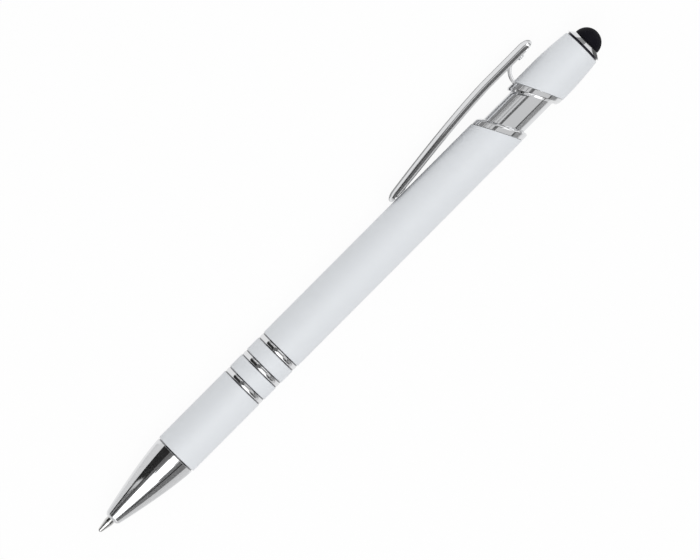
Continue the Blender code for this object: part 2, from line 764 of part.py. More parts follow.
def build_push_cam(finish):
    """Pusher fixed in the plunger neck, with fins in the sleeve's slots and a crown over the rotor's."""
    head = NECK_BORE - PRESS_FIT
    profile = [
        (head, NECK_TOP_Z - SEAM),
        (head, HEAD_Z),
        (CROWN_BORE, HEAD_Z),
        (CROWN_BORE, NECK_TOP_Z - SEAM),
    ]
    pusher = turned("push_cam", profile, PLUNGER, finish, SMALL_STEPS)
    root = HEAD_Z + PUSH_HEAD / 2
    crown = toothed_tube("push crown", CAM_RADIUS, CROWN_BORE - SEAM, root, PUSH_CROWN_Z, -CROWN_HEIGHT)
    combine(pusher, cutter("push crown", crown), "UNION")
    low = PUSH_CROWN_Z + AXIAL_GAP
    width = SLOT_WIDTH - 2 * SLOT_FIT
    fins = spokes("push fins", low, low + PUSH_FIN_LENGTH, CROWN_BORE, fin_tip(), width)
    combine(pusher, fins, "UNION")


def clip_crown(height):
    """The crown's distance from the axis: flat over the cap, falling towards the nose."""
    share = np.clip((CLIP_FLAT_Z - height) / CLIP_RUN, 0.0, 1.0)
    return CLIP_CROWN_HEIGHT - (CLIP_STANDOFF - CLIP_NOSE_STANDOFF) * share**CLIP_CURVE


def clip_outline():
    """The blade's section from lip to lip over its crown, as shares across and up."""
    across, up = np.array(CLIP_SECTION).T
    return np.concatenate((across, -across[::-1])), np.concatenate((up, up[::-1]))


def clip_sections():
    """Heights of the blade's sections, closer together where the ends round off."""
    arc = 1 - np.cos(np.linspace(CLIP_FIRST_TURN, math.pi / 2, 5))
    nose = CLIP_NOSE_Z + CLIP_NOSE * arc
    body = np.linspace(CLIP_NOSE_Z + CLIP_NOSE, CLIP_FLAT_Z, 12)[1:]
    end = CLIP_TOP_Z - CLIP_END * arc[::-1]
    return np.concatenate((nose, body, end))


def build_clip_blade(finish):
    """Pressed channel, lofted through its sections, with a round nose and a bead on the barrel."""
    z = clip_sections()
    from_nose = np.clip((z - CLIP_NOSE_Z) / CLIP_NOSE, 0.0, 1.0)
    from_top = np.clip((CLIP_TOP_Z - z) / CLIP_END, 0.0, 1.0)
    round_off = np.sqrt(1 - (1 - from_nose) ** 2) * np.sqrt(1 - (1 - from_top) ** 2)
    along = np.clip((z - CLIP_NOSE_Z) / CLIP_RUN, 0.0, 1.0)
    half = (CLIP_NOSE_WIDTH + (CLIP_WIDTH - CLIP_NOSE_WIDTH) * along) / 2 * round_off
    depth = CLIP_DEPTH - (CLIP_DEPTH - CLIP_NOSE_DEPTH) * (1 - along) ** 6
    crown = clip_crown(z)
    lip = crown - depth
    middle = lip + depth * CLIP_TIP_LEVEL
    crown = middle + (crown - middle) * round_off
    lip = middle - (middle - lip) * round_off
    solid = BEAD_FROM_NOSE + BEAD_LENGTH / 2
    hollow = np.clip((z - CLIP_NOSE_Z - solid) / CLIP_DEPTH, 0.0, 1.0)
    hollow = hollow * np.clip(2 * from_top - 1, 0.0, 1.0)
    wall = CLIP_WALL * round_off
    rise = SEAM + (crown - wall - lip - SEAM) * hollow
    inside = half - wall
    outline = list(zip(*clip_outline()))
    columns = [(half * a, lip + (crown - lip) * u) for a, u in outline]
    columns += [(inside * a, lip + rise * u) for a, u in reversed(outline)]
    count = len(columns)
    grid = np.stack([np.stack((c, y, z), axis=1) for y, c in columns], axis=1)
    faces = []
    for row in range(len(z) - 1):
        for i in range(count):
            j = (i + 1) % count
            low, high = row * count, (row + 1) * count
            faces.append((low + i, high + i, high + j, low + j))
    faces.append(tuple(range(count)))
    faces.append(tuple((len(z) - 1) * count + i for i in reversed(range(count))))
    points = grid.reshape(-1, 3) - np.array(CLIP.location)
    blade = piece("clip_blade", skin_mesh("clip_blade", points.tolist(), faces), CLIP, finish)
    place = (BARREL_RADIUS + SEAM + BEAD_DEPTH / 2, 0.0, CLIP_NOSE_Z + BEAD_FROM_NOSE)
    radii = (BEAD_DEPTH / 2, BEAD_WIDTH / 2, BEAD_LENGTH / 2)
    combine(blade, cutter("clip bead", ball_mesh("clip bead", radii, 16, 10), place), "UNION")


def on_cap_slant(reach):
    """A point of the joint between collar and cap, on the clip's side."""
    return Vector((reach, 0.0, CAP_Z - reach * math.tan(CAP_SLANT)))


def strap_path():
    """The strap's middle line: out through its slot, up in one bend, and on as a tongue in the blade."""
    start = on_cap_slant(NECK_RADIUS + 4 * SEAM)
    mouth = on_cap_slant(BARREL_RADIUS - SEAM)
    tongue = CLIP_LIP_HEIGHT + STRAP_SEAT
    end = Vector((tongue, 0.0, mouth.z + STRAP_BEND))
    first = Vector(((mouth.x + tongue) / 2, 0.0, mouth.z + STRAP_LEAD))
    second = Vector((tongue, 0.0, mouth.z + STRAP_EASE * STRAP_BEND))
    bend = []
    for share in np.linspace(0.0, 1.0, 9):
        rest = 1 - share
        bend.append(
            mouth * rest**3
            + first * 3 * rest**2 * share
            + second * 3 * rest * share**2
            + end * share**3
        )
    return [start, *bend, end + Vector((0.0, 0.0, STRAP_TONGUE))]


def rivet_height():
    """Where the rivet goes through the strap's tongue."""
    return strap_path()[-1].z - STRAP_TONGUE / 2


def build_clip_strap(finish):
    """Bent spring strap of even thickness, with a hole for the rivet."""
    shape = bmesh.new()
    edge = [shape.verts.new((p.x, -STRAP_WIDTH / 2, p.z)) for p in strap_path()]
    lines = [shape.edges.new(pair) for pair in zip(edge, edge[1:])]
    drawn = bmesh.ops.extrude_edge_only(shape, edges=lines)["geom"]
    moved = [v for v in drawn if isinstance(v, bmesh.types.BMVert)]
    bmesh.ops.translate(shape, verts=moved, vec=(0.0, STRAP_WIDTH, 0.0))
    mesh = bpy.data.meshes.new("clip_strap")
    shape.to_mesh(mesh)
    shape.free()
    strap = piece("clip_strap", mesh, PLUNGER, finish)
    wall = strap.modifiers.new("thickness", "SOLIDIFY")
    wall.thickness = STRAP_THICKNESS
    wall.offset = 0.0
    wall.use_even_offset = True
    hole = rod_mesh("rivet hole", RIVET_RADIUS + SLIDE_FIT, OVERSIZE / 4, SMALL_STEPS)
    place = (CLIP_LIP_HEIGHT + STRAP_SEAT, 0.0, rivet_height())
    combine(strap, cutter("rivet hole", hole, place, (0.0, math.pi / 2, 0.0)))


def build_clip_rivet(finish):
    """Rivet through the strap's tongue, with its head towards the barrel."""
    top = CLIP_CROWN_HEIGHT - CLIP_WALL - SEAM
    under = CLIP_LIP_HEIGHT + STRAP_SEAT - STRAP_THICKNESS / 2 - SEAM
    nub = CLIP_LIP_HEIGHT - RIVET_NUB
    profile = [
        (0.0, top),
        (RIVET_RADIUS, top),
        (RIVET_RADIUS, under),
        (RIVET_HEAD_RADIUS, under),
        (RIVET_HEAD_RADIUS, nub + RIVET_NUB / 2),
        (RIVET_RADIUS, nub),
        (0.0, nub),
    ]
    rivet = turned("clip_rivet", profile, CLIP, finish, SMALL_STEPS, closed=False)
    rivet.rotation_euler = (0.0, math.pi / 2, 0.0)
    rivet.location = Vector((0.0, 0.0, rivet_height())) - CLIP.location


def lay_down():
    """Roll the pen on to its clip's edge, turn it on its side and stand it on the table about the origin."""
    across, up = clip_outline()
    half = CLIP_WIDTH / 2 * np.abs(across)
    height = CLIP_LIP_HEIGHT + CLIP_DEPTH * up
    rolls = np.arcsin(BARREL_RADIUS / np.hypot(height, half)) - np.arctan2(half, height)
    roll = float(rolls.min())
    axis, clip = Vector((1.0, 0.0, 0.0)), Vector((0.0, math.cos(roll), -math.sin(roll)))
    side = axis.cross(clip)
    turn = Matrix((clip, side, axis)).transposed()
    PEN.rotation_euler = turn.to_euler()
    bpy.context.view_layer.update()
    graph = bpy.context.evaluated_depsgraph_get()
    corners = []
    for shown in PARTS.objects:
        if shown.type == "EMPTY":
            continue
        solid = shown.evaluated_get(graph)
        mesh = solid.to_mesh()
        corners += [solid.matrix_world @ v.co for v in mesh.vertices]
        solid.to_mesh_clear()
    low = Vector(map(min, zip(*corners)))
    high = Vector(map(max, zip(*corners)))
    middle = (low + high) / 2
    PEN.location = (-middle.x, -middle.y, -low.z)
    bpy.context.view_layer.update()


clear_scene()
PARTS = collection("ballpoint_pen")
CUTTERS = collection("cutters")
PEN = empty("pen")
PLUNGER = empty("plunger", PEN)
REFILL = empty("refill", PEN)
ROTOR = empty("rotor_axis", REFILL)
BALL = empty("ball_centre", REFILL, (0.0, 0.0, BALL_RADIUS))
CLIP = empty("clip_hinge", PLUNGER, on_cap_slant(BARREL_RADIUS))

white = material("white coating", (0.80, 0.81, 0.83), 0.55, 0.0)
chrome = material("bright chrome", (0.78, 0.79, 0.80), 0.08, 1.0)
rubber = material("black rubber", (0.015, 0.014, 0.018), 0.6, 0.0)
nickel = material("nickel silver", (0.72, 0.70, 0.65), 0.18, 1.0)
steel = material("spring steel", (0.55, 0.55, 0.56), 0.3, 1.0)
carbide = material("ball carbide", (0.35, 0.35, 0.36), 0.15, 1.0)
clear_plastic = material("refill plastic", (0.75, 0.76, 0.78), 0.35, 0.0)
blue_ink = material("blue ink", (0.01, 0.02, 0.12), 0.3, 0.0)
white_plastic = material("white acetal", (0.78, 0.78, 0.76), 0.4, 0.0)
black_plastic = material("black acetal", (0.03, 0.03, 0.03), 0.4, 0.0)

build_nose_cone(chrome)
build_barrel(white)
build_trim_rings(chrome)
build_ferrule(chrome)
build_neck(chrome)
slot = strap_notch()
build_collar(chrome, slot)
build_cap(white, slot)
build_cap_core(white_plastic)
build_stylus(chrome, rubber)
build_refill(nickel, clear_plastic, blue_ink, carbide)
build_spring(steel)
build_cam_sleeve(black_plastic)
build_rotor(white_plastic)
build_push_cam(black_plastic)
build_clip_blade(chrome)
build_clip_strap(chrome)
build_clip_rivet(chrome)
lay_down()
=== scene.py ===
"""Looks of a slant-cut click ballpoint pen with a pocket clip and a stylus end.

Lengths are metres. Each piece is worked out in the pen's own frame: the first
number runs from the axis towards the clip, the second across the pen, and the
third along the axis from the writing end. PenFrame then lays it where the
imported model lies.
"""

import json
import logging
import math
from dataclasses import dataclass, field
from enum import Enum

import bmesh
import bpy
import numpy as np
from mathutils import Matrix, Vector
from numpy.typing import NDArray


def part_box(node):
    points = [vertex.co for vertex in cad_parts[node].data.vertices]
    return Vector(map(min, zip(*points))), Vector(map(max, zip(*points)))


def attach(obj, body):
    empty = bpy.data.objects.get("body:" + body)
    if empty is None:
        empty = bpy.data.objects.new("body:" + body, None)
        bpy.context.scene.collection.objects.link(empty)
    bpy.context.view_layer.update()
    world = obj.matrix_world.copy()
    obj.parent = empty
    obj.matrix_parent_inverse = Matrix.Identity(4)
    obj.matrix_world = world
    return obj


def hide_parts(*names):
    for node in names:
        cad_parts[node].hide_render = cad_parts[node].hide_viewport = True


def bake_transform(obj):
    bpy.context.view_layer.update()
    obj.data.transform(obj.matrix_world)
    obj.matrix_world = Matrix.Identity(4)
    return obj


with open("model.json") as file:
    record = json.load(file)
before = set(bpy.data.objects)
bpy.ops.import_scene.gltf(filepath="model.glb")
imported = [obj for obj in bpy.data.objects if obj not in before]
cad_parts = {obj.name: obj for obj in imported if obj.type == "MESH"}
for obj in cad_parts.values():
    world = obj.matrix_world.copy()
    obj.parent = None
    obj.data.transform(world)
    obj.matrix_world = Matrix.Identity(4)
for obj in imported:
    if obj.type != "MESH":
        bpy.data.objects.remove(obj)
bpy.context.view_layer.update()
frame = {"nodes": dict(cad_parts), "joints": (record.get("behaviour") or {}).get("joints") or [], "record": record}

Array = NDArray[np.float64]
Colour = tuple[float, float, float]
LOG = logging.getLogger("pen")
# Name of the point attribute that holds painted shade: how far each point is darkened to stand for the shade in
# grooves
GROOVE_SHADE = "grime"
WHITE = (1.0, 1.0, 1.0, 1.0)
SHARP = math.radians(40.0)
MERGE = 1e-8
TENTH = 1e-4

# How far a rounding may reach along an edge, and where the edge's last straight point lies
LONGEST_ROUND = 0.4
EDGE_LEAD = 1.15

# Points on the rounding of a wide bevel, and points round the axis
BEVEL_STEPS = 9
COLUMNS = 160
FINE_COLUMNS = 192
NOTCHED_COLUMNS = 384


class Body(Enum):
    """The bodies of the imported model."""

    BARREL = "barrel"
    PLUNGER = "plunger"
    CLIP = "clip"
    REFILL = "refill"
    BALL = "ball"


class Slot(Enum):
    """The record's material slots."""

    WHITE_COATING = "white_coating"
    CHROME = "chrome"
    BLACK_RUBBER = "black_rubber"
    NICKEL_SILVER = "nickel_silver"
    SPRING_STEEL = "spring_steel"
    CARBIDE = "carbide"
    REFILL_PLASTIC = "refill_plastic"
    BLUE_INK = "blue_ink"
    WHITE_ACETAL = "white_acetal"
    BLACK_ACETAL = "black_acetal"


class Relief(Enum):
    """How the fine relief of a finish lies on the surface."""

    PEBBLED = "even in all directions, as on a coat of paint or rubber"
    TURNED = "in rings round the axis, as a lathe leaves it"
    DRAWN = "in hair lines along the axis, as polishing or drawing leaves it"


# Frame


@dataclass(frozen=True)
class PenFrame:
    """Where the pen lies: its writing end and three directions at right angles."""

    end: Array
    clip: Array
    side: Array
    axis: Array

    @classmethod
    def of_model(cls) -> "PenFrame":
        """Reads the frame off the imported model.

        Returns:
            The frame whose axis runs through the writing ball along the
            plunger's slide, with the clip's direction taken from its mount.
        """
        low, high = (np.array(corner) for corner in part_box("writing_ball"))
        joints = {joint["name"]: joint for joint in frame["joints"]}
        axis = np.array(joints["plunger_slide"]["axis"], float)
        clip = np.array(frame["record"]["mounts"][0]["axis"], float)
        middle = (low + high) / 2
        end = middle - axis * np.dot(high - low, axis) / 2
        return cls(end, clip, np.cross(axis, clip), axis)

    def place(self, points: Array) -> Array:
        """Carries points of the pen's own frame to the model's frame."""
        return self.end + points @ np.stack((self.clip, self.side, self.axis))

    def spot(self, reach: float, across: float, height: float) -> Vector:
        """One point of the pen's own frame, in the model's frame."""
        return Vector(self.place(np.array((reach, across, height))))


PEN = PenFrame.of_model()


# Surfaces


def joined_grid(rows: int, columns: int, wrap_rows: bool) -> NDArray[np.int64]:
    """Quads of a grid whose columns close into a ring.

    Args:
        rows: Count of grid rows.
        columns: Count of grid columns.
        wrap_rows: Whether the last row joins the first one.

    Returns:
        Four point numbers for each quad.
    """
    numbers = np.arange(rows * columns).reshape(rows, columns)
    low = numbers if wrap_rows else numbers[:-1]
    high = np.roll(numbers, -1, axis=0) if wrap_rows else numbers[1:]
    quads = (low, high, np.roll(high, -1, axis=1), np.roll(low, -1, axis=1))
    return np.stack(quads, axis=-1).reshape(-1, 4)


def grid_mesh(
    name: str, grid: Array, poles: tuple[Array, Array] | None = None, grime: Array | None = None
) -> bpy.types.Mesh:
    """Makes a closed skin over a grid of points.

    The columns always close into a ring. Without poles the rows close too,
    which gives a ring-shaped solid; with poles each end row is fanned to one
    point.

    Args:
        name: Name of the mesh.
        grid: Points as rows x columns x 3, in the pen's own frame.
        poles: The point that closes the first row and the one that closes the last.
        grime: How much painted shade, standing for the shade that falls in grooves, lies on each row, from none to
            one.

    Returns:
        A smooth-shaded mesh with outward faces and sharp edges at corners.
    """
    rows, columns = grid.shape[:2]
    points = grid.reshape(-1, 3)
    quads = joined_grid(rows, columns, poles is None)
    fans = np.empty((0, 3), int)
    if poles is not None:
        ring = np.arange(columns)
        after = np.roll(ring, -1)
        last = (rows - 1) * columns
        top = np.full(columns, rows * columns + 1)
        first_fan = np.stack((top - 1, ring, after), axis=1)
        last_fan = np.stack((top, last + after, last + ring), axis=1)
        fans = np.concatenate((first_fan, last_fan))
        points = np.concatenate((points, np.stack(poles)))
    loops = np.concatenate((quads.ravel(), fans.ravel()))
    starts = np.concatenate((np.arange(len(quads)) * 4, quads.size + np.arange(len(fans)) * 3))
    mesh = bpy.data.meshes.new(name)
    mesh.vertices.add(len(points))
    mesh.vertices.foreach_set("co", PEN.place(points).ravel())
    mesh.loops.add(len(loops))
    mesh.loops.foreach_set("vertex_index", loops)
    mesh.polygons.add(len(starts))
    mesh.polygons.foreach_set("loop_start", starts)
    mesh.update(calc_edges=True)
    mesh.validate()
    # Painted shade: each row's share of darkening, standing for the shade in grooves, is stored on its points
    painted_shade = np.zeros(len(points))
    if grime is not None:
        painted_shade[: rows * columns] = np.repeat(grime, columns)
    mesh.attributes.new(GROOVE_SHADE, "FLOAT", "POINT").data.foreach_set("value", painted_shade)
    shape = bmesh.new()
    shape.from_mesh(mesh)
    bmesh.ops.remove_doubles(shape, verts=shape.verts, dist=MERGE)
    bmesh.ops.recalc_face_normals(shape, faces=shape.faces)
    shape.to_mesh(mesh)
    shape.free()
    mesh.shade_smooth()
    mesh.set_sharp_from_angle(angle=SHARP)
    return mesh


def rounded(corners: Array, radii: Array, between: Array | None = None, steps: int = 6) -> Array:
    """Rounds the corners of an outline.

    Each corner becomes a parabola from a point on the edge before it to one on
    the edge after it, both at the corner's radius away, with one more point
    just outside each end so that the edges stay straight in the shading.

    Args:
        corners: Corner rows, whose first two numbers are radius and height.
        radii: How far each rounding reaches from its corner.
        between: The rows before the first and after the last corner; a closed
            outline has none.
        steps: Points along each parabola.

    Returns:
        The rounded outline's rows.
    """
    ends = corners[[-1, 0]] if between is None else between
    chain = np.concatenate((ends[:1], corners, ends[1:]))
    here = chain[1:-1]
    back, ahead = chain[:-2] - here, chain[2:] - here
    back_run = np.linalg.norm(back[:, :2], axis=1, keepdims=True)
    ahead_run = np.linalg.norm(ahead[:, :2], axis=1, keepdims=True)
    reach = np.minimum(radii[:, None], LONGEST_ROUND * np.minimum(back_run, ahead_run))
    back, ahead = back / back_run * reach, ahead / ahead_run * reach
    share = np.linspace(0.0, 1.0, steps)[:, None]
    arcs = [
        (here + back * EDGE_LEAD)[:, None],
        here[:, None] + back[:, None] * (1 - share) ** 2 + ahead[:, None] * share**2,
        (here + ahead * EDGE_LEAD)[:, None],
    ]
    return np.concatenate(arcs, axis=1).reshape(-1, corners.shape[1])


def rows_of(*corners: tuple[float, ...]) -> Array:
    """Outline rows of radius, height, slant, notch and painted groove shade, with what is left out taken as none.
    """
    return np.array([tuple(corner) + (0.0,) * (5 - len(corner)) for corner in corners])


def tenths(*reaches: float) -> Array:
    """How far roundings reach, given in tenths of a millimetre."""
    return np.array(reaches) * TENTH


def plug_rows(corners: Array, reaches: Array, ends: Array) -> Array:
    """Outline rows of a solid plug: rounded corners between its two ends on the axis."""
    return np.concatenate((ends[:1], rounded(corners, reaches, ends), ends[1:]))


def plain_rows(radius: Array, height: Array) -> Array:
    """Outline rows from arrays of radius and height, without slant, notch and grime."""
    return np.stack((radius, height, *np.zeros((3, len(height)))), axis=1)


@dataclass(frozen=True)
class Notch:
    """A square gap in a slanted rim on the clip's side."""

    half_width: float = 0.0014
    edge: float = 0.00008

    def share(self, reach: Array, across: Array) -> Array:
        """How much of the notch's depth holds at a point: one inside its width on the clip's side."""
        inside = np.clip((self.half_width - np.abs(across)) / self.edge, 0.0, 1.0)
        return inside * (reach > 0)


def lathe(outline: Array, columns: int, notch: Notch = Notch()) -> Array:
    """Carries an outline round the axis.

    A row of radius r, height z, slant s and notch n goes to
    (r cos a, r sin a, z - s r cos a + n where the notch is), so a slanted row
    lies in one plane that is lower on the clip's side.

    Args:
        outline: Rows of radius, height, slant, notch and painted groove shade.
        columns: Points round the axis.
        notch: Shape of the notch.

    Returns:
        Points as rows x columns x 3.
    """
    angle = np.linspace(0.0, 2 * math.pi, columns, endpoint=False)
    radius, height, slant, depth = (outline[:, i, None] for i in range(4))
    reach, across = radius * np.cos(angle), radius * np.sin(angle)
    height = height - slant * reach + depth * notch.share(reach, across)
    return np.stack((reach, across, height), axis=-1)


def turned_mesh(name: str, outline: Array, columns: int = COLUMNS) -> bpy.types.Mesh:
    """A lathe-turned solid: a ring if the outline is closed, a plug if it starts and ends on the axis.

    Args:
        name: Name of the mesh.
        outline: Rows of radius, height, slant, notch and painted groove shade.
        columns: Points round the axis.

    Returns:
        The solid's mesh.
    """
    if outline[0, 0] > 0 or outline[-1, 0] > 0:
        return grid_mesh(name, lathe(outline, columns), None, outline[:, 4])
    ends = np.zeros((2, 3))
    ends[:, 2] = outline[[0, -1], 1]
    return grid_mesh(name, lathe(outline[1:-1], columns), (ends[0], ends[1]), outline[1:-1, 4])


def swept_mesh(name: str, path: Array, across: Array, up: Array, section: Array) -> bpy.types.Mesh:
    """A section carried along a path, closed by a point at each end.

    The point at section (u, v) of row i is path[i] + u across[i] + v up[i].

    Args:
        name: Name of the mesh.
        path: Points along the path.
        across: The section's first direction at each of them.
        up: The section's second direction at each of them.
        section: Points of the closed section.

    Returns:
        The swept solid's mesh.
    """
    spread = section[None, :, :1] * across[:, None] + section[None, :, 1:] * up[:, None]
    return grid_mesh(name, path[:, None] + spread, (path[0], path[-1]))


def put(name: str, data: bpy.types.ID) -> bpy.types.Object:
    """Makes an object and puts it in the scene.

    Args:
        name: Its name.
        data: Its mesh, lamp or camera.

    Returns:
        The object, at the origin.
    """
    made = bpy.data.objects.new(name, data)
    bpy.context.scene.collection.objects.link(made)
    return made


def show(
    name: str, mesh: bpy.types.Mesh, finish: "Finish", node: str, body: Body | None = None
) -> bpy.types.Object:
    """Puts a mesh in the scene as a dressed piece that stands for a CAD node.

    Args:
        name: The piece's name.
        mesh: Its mesh.
        finish: Its finish.
        node: The CAD node that it stands for.
        body: The body that it rides on, if it doesn't cross a joint.

    Returns:
        The piece, which rides on no body if it is given none.
    """
    piece = put(name, mesh)
    mesh.materials.append(finish.material())
    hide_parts(node)
    if body is not None:
        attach(piece, body.value)
    LOG.info("%s: %d faces, %s", name, len(mesh.polygons), finish.slot.value)
    return piece


# Finishes


@dataclass(frozen=True)
class Finish:
    """A procedural surface: colour that drifts a little, uneven gloss, fine relief, and painted shade in grooves.
    """

    slot: Slot
    colour: Colour
    roughness: float
    metallic: float = 0.0
    relief: Relief = Relief.PEBBLED
    grain: float = 5000.0
    stretch: float = 40.0
    height: float = 2e-6
    strength: float = 0.3
    drift: float = 0.03
    gloss_drift: float = 0.04
    specular: float = 0.5
    coat: float = 0.0
    # Colour of the painted shade in grooves: a near-black that stands for the shade falling there
    painted_shade: Colour = (0.03, 0.028, 0.038)
    grain_detail: float = 3.0
    cloud_size: float = 25.0
    cloud_detail: float = 2.0
    noise_span: tuple[float, float] = (0.1, 0.4)

    def material(self) -> bpy.types.Material:
        """Makes the material, or returns it if another piece has it already.

        Returns:
            A material whose pattern lies on Object coordinates.
        """
        name = self.slot.value + "_finish"
        made = bpy.data.materials.get(name)
        if made is not None:
            return made
        made = bpy.data.materials.new(name)
        made.use_nodes = True
        tree = made.node_tree
        shader = tree.nodes["Principled BSDF"]
        shader.inputs["Metallic"].default_value = self.metallic
        shader.inputs["Specular IOR Level"].default_value = self.specular
        shader.inputs["Coat Weight"].default_value = self.coat
        place = tree.nodes.new("ShaderNodeTexCoord")
        mapping = tree.nodes.new("ShaderNodeMapping")
        mapping.inputs["Scale"].default_value = self.scale()
        tree.links.new(place.outputs["Object"], mapping.inputs["Vector"])
        grain = self.noise(tree, mapping.outputs["Vector"], self.grain, self.grain_detail)
        waves = self.grain / self.cloud_size
        cloud = self.noise(tree, place.outputs["Object"], waves, self.cloud_detail)
        self.paint(tree, cloud, shader)
        self.gloss(tree, grain, cloud, shader)
        bump = tree.nodes.new("ShaderNodeBump")
        bump.inputs["Strength"].default_value = self.strength
        bump.inputs["Distance"].default_value = self.height
        tree.links.new(grain, bump.inputs["Height"])
        tree.links.new(bump.outputs["Normal"], shader.inputs["Normal"])
        return made

    def scale(self) -> Colour:
        """How the relief is pressed together along the axis, or drawn out along it.

        Returns:
            A scale along the axis and two across it.
        """
        if self.relief is Relief.TURNED:
            return (1.0, 1.0 / self.stretch, 1.0 / self.stretch)
        if self.relief is Relief.DRAWN:
            return (1.0 / self.stretch, 1.0, 1.0)
        return (1.0, 1.0, 1.0)

    @staticmethod
    def noise(
        tree: bpy.types.NodeTree, place: bpy.types.NodeSocket, scale: float, detail: float
    ) -> bpy.types.NodeSocket:
        """Adds a noise of so many waves to the metre.

        Args:
            tree: The material's nodes.
            place: Where the noise reads its coordinates.
            scale: Waves to the metre.
            detail: Octaves of finer noise in it.

        Returns:
            The noise's value.
        """
        node = tree.nodes.new("ShaderNodeTexNoise")
        node.inputs["Scale"].default_value = scale
        node.inputs["Detail"].default_value = detail
        tree.links.new(place, node.inputs["Vector"])
        return node.outputs["Fac"]

    def paint(
        self, tree: bpy.types.NodeTree, cloud: bpy.types.NodeSocket, shader: bpy.types.Node
    ) -> None:
        """Mixes a slightly darker and a slightly lighter tone of the colour, with painted shade over them in
        grooves.

        Args:
            tree: The material's nodes.
            cloud: Slow noise that chooses between the tones.
            shader: The shader that takes the colour.
        """
        tones = tree.nodes.new("ShaderNodeMixRGB")
        for socket, tone in (("Color1", 1 - self.drift), ("Color2", 1 + self.drift)):
            paint = [min(1.0, part * tone) for part in self.colour]
            tones.inputs[socket].default_value = (*paint, 1.0)
        tree.links.new(cloud, tones.inputs["Fac"])
        # Painted shade: where the point attribute marks a groove, the colour is mixed towards near-black to stand
        # for the shade in it
        groove = tree.nodes.new("ShaderNodeAttribute")
        groove.attribute_name = GROOVE_SHADE
        groove_shading = tree.nodes.new("ShaderNodeMixRGB")
        groove_shading.inputs["Color2"].default_value = (*self.painted_shade, 1.0)
        tree.links.new(groove.outputs["Fac"], groove_shading.inputs["Fac"])
        tree.links.new(tones.outputs["Color"], groove_shading.inputs["Color1"])
        tree.links.new(groove_shading.outputs["Color"], shader.inputs["Base Color"])

    def gloss(
        self,
        tree: bpy.types.NodeTree,
        grain: bpy.types.NodeSocket,
        cloud: bpy.types.NodeSocket,
        shader: bpy.types.Node,
    ) -> None:
        """Makes the roughness follow the relief and the slow noise.

        Args:
            tree: The material's nodes.
            grain: The relief.
            cloud: The slow noise.
            shader: The shader that takes the roughness.
        """
        both = tree.nodes.new("ShaderNodeMath")
        both.operation = "MULTIPLY"
        tree.links.new(grain, both.inputs[0])
        tree.links.new(cloud, both.inputs[1])
        span = tree.nodes.new("ShaderNodeMapRange")
        span.inputs["From Min"].default_value = self.noise_span[0]
        span.inputs["From Max"].default_value = self.noise_span[1]
        span.inputs["To Min"].default_value = max(0.0, self.roughness - self.gloss_drift)
        span.inputs["To Max"].default_value = self.roughness + self.gloss_drift
        tree.links.new(both.outputs["Value"], span.inputs["Value"])
        tree.links.new(span.outputs["Result"], shader.inputs["Roughness"])


WHITE_COAT = Finish(
    Slot.WHITE_COATING, (0.775, 0.80, 0.83), 0.42, grain=9000.0, height=4e-6, drift=0.012
)
CHROME = Finish(
    Slot.CHROME, (0.72, 0.725, 0.735), 0.07, 1.0, Relief.TURNED, 3000.0,
    height=2e-7, strength=0.15, drift=0.015, gloss_drift=0.03,
)
BLACK_RUBBER = Finish(
    Slot.BLACK_RUBBER, (0.0045, 0.004, 0.0075), 0.65, grain=14000.0, height=6e-6, drift=0.15, specular=0.1
)
NICKEL_SILVER = Finish(
    Slot.NICKEL_SILVER, (0.66, 0.66, 0.65), 0.1, 1.0, Relief.TURNED, 4000.0,
    height=1e-7, strength=0.15, gloss_drift=0.03,
)
SPRING_STEEL = Finish(
    Slot.SPRING_STEEL, (0.52, 0.52, 0.53), 0.3, 1.0, Relief.DRAWN, 12000.0, height=1e-6
)
CARBIDE = Finish(Slot.CARBIDE, (0.33, 0.33, 0.34), 0.25, 1.0, grain=30000.0, height=5e-7)
REFILL_PLASTIC = Finish(
    Slot.REFILL_PLASTIC, (0.72, 0.73, 0.75), 0.25, 0.0, Relief.DRAWN, 4000.0, coat=0.3
)
BLUE_INK = Finish(Slot.BLUE_INK, (0.01, 0.02, 0.12), 0.15, grain=1500.0, drift=0.25, coat=0.5)
WHITE_ACETAL = Finish(Slot.WHITE_ACETAL, (0.76, 0.76, 0.73), 0.45, grain=8000.0, height=3e-6)
BLACK_ACETAL = Finish(
    Slot.BLACK_ACETAL, (0.03, 0.03, 0.03), 0.42, grain=8000.0, height=3e-6, drift=0.12
)


# Pieces


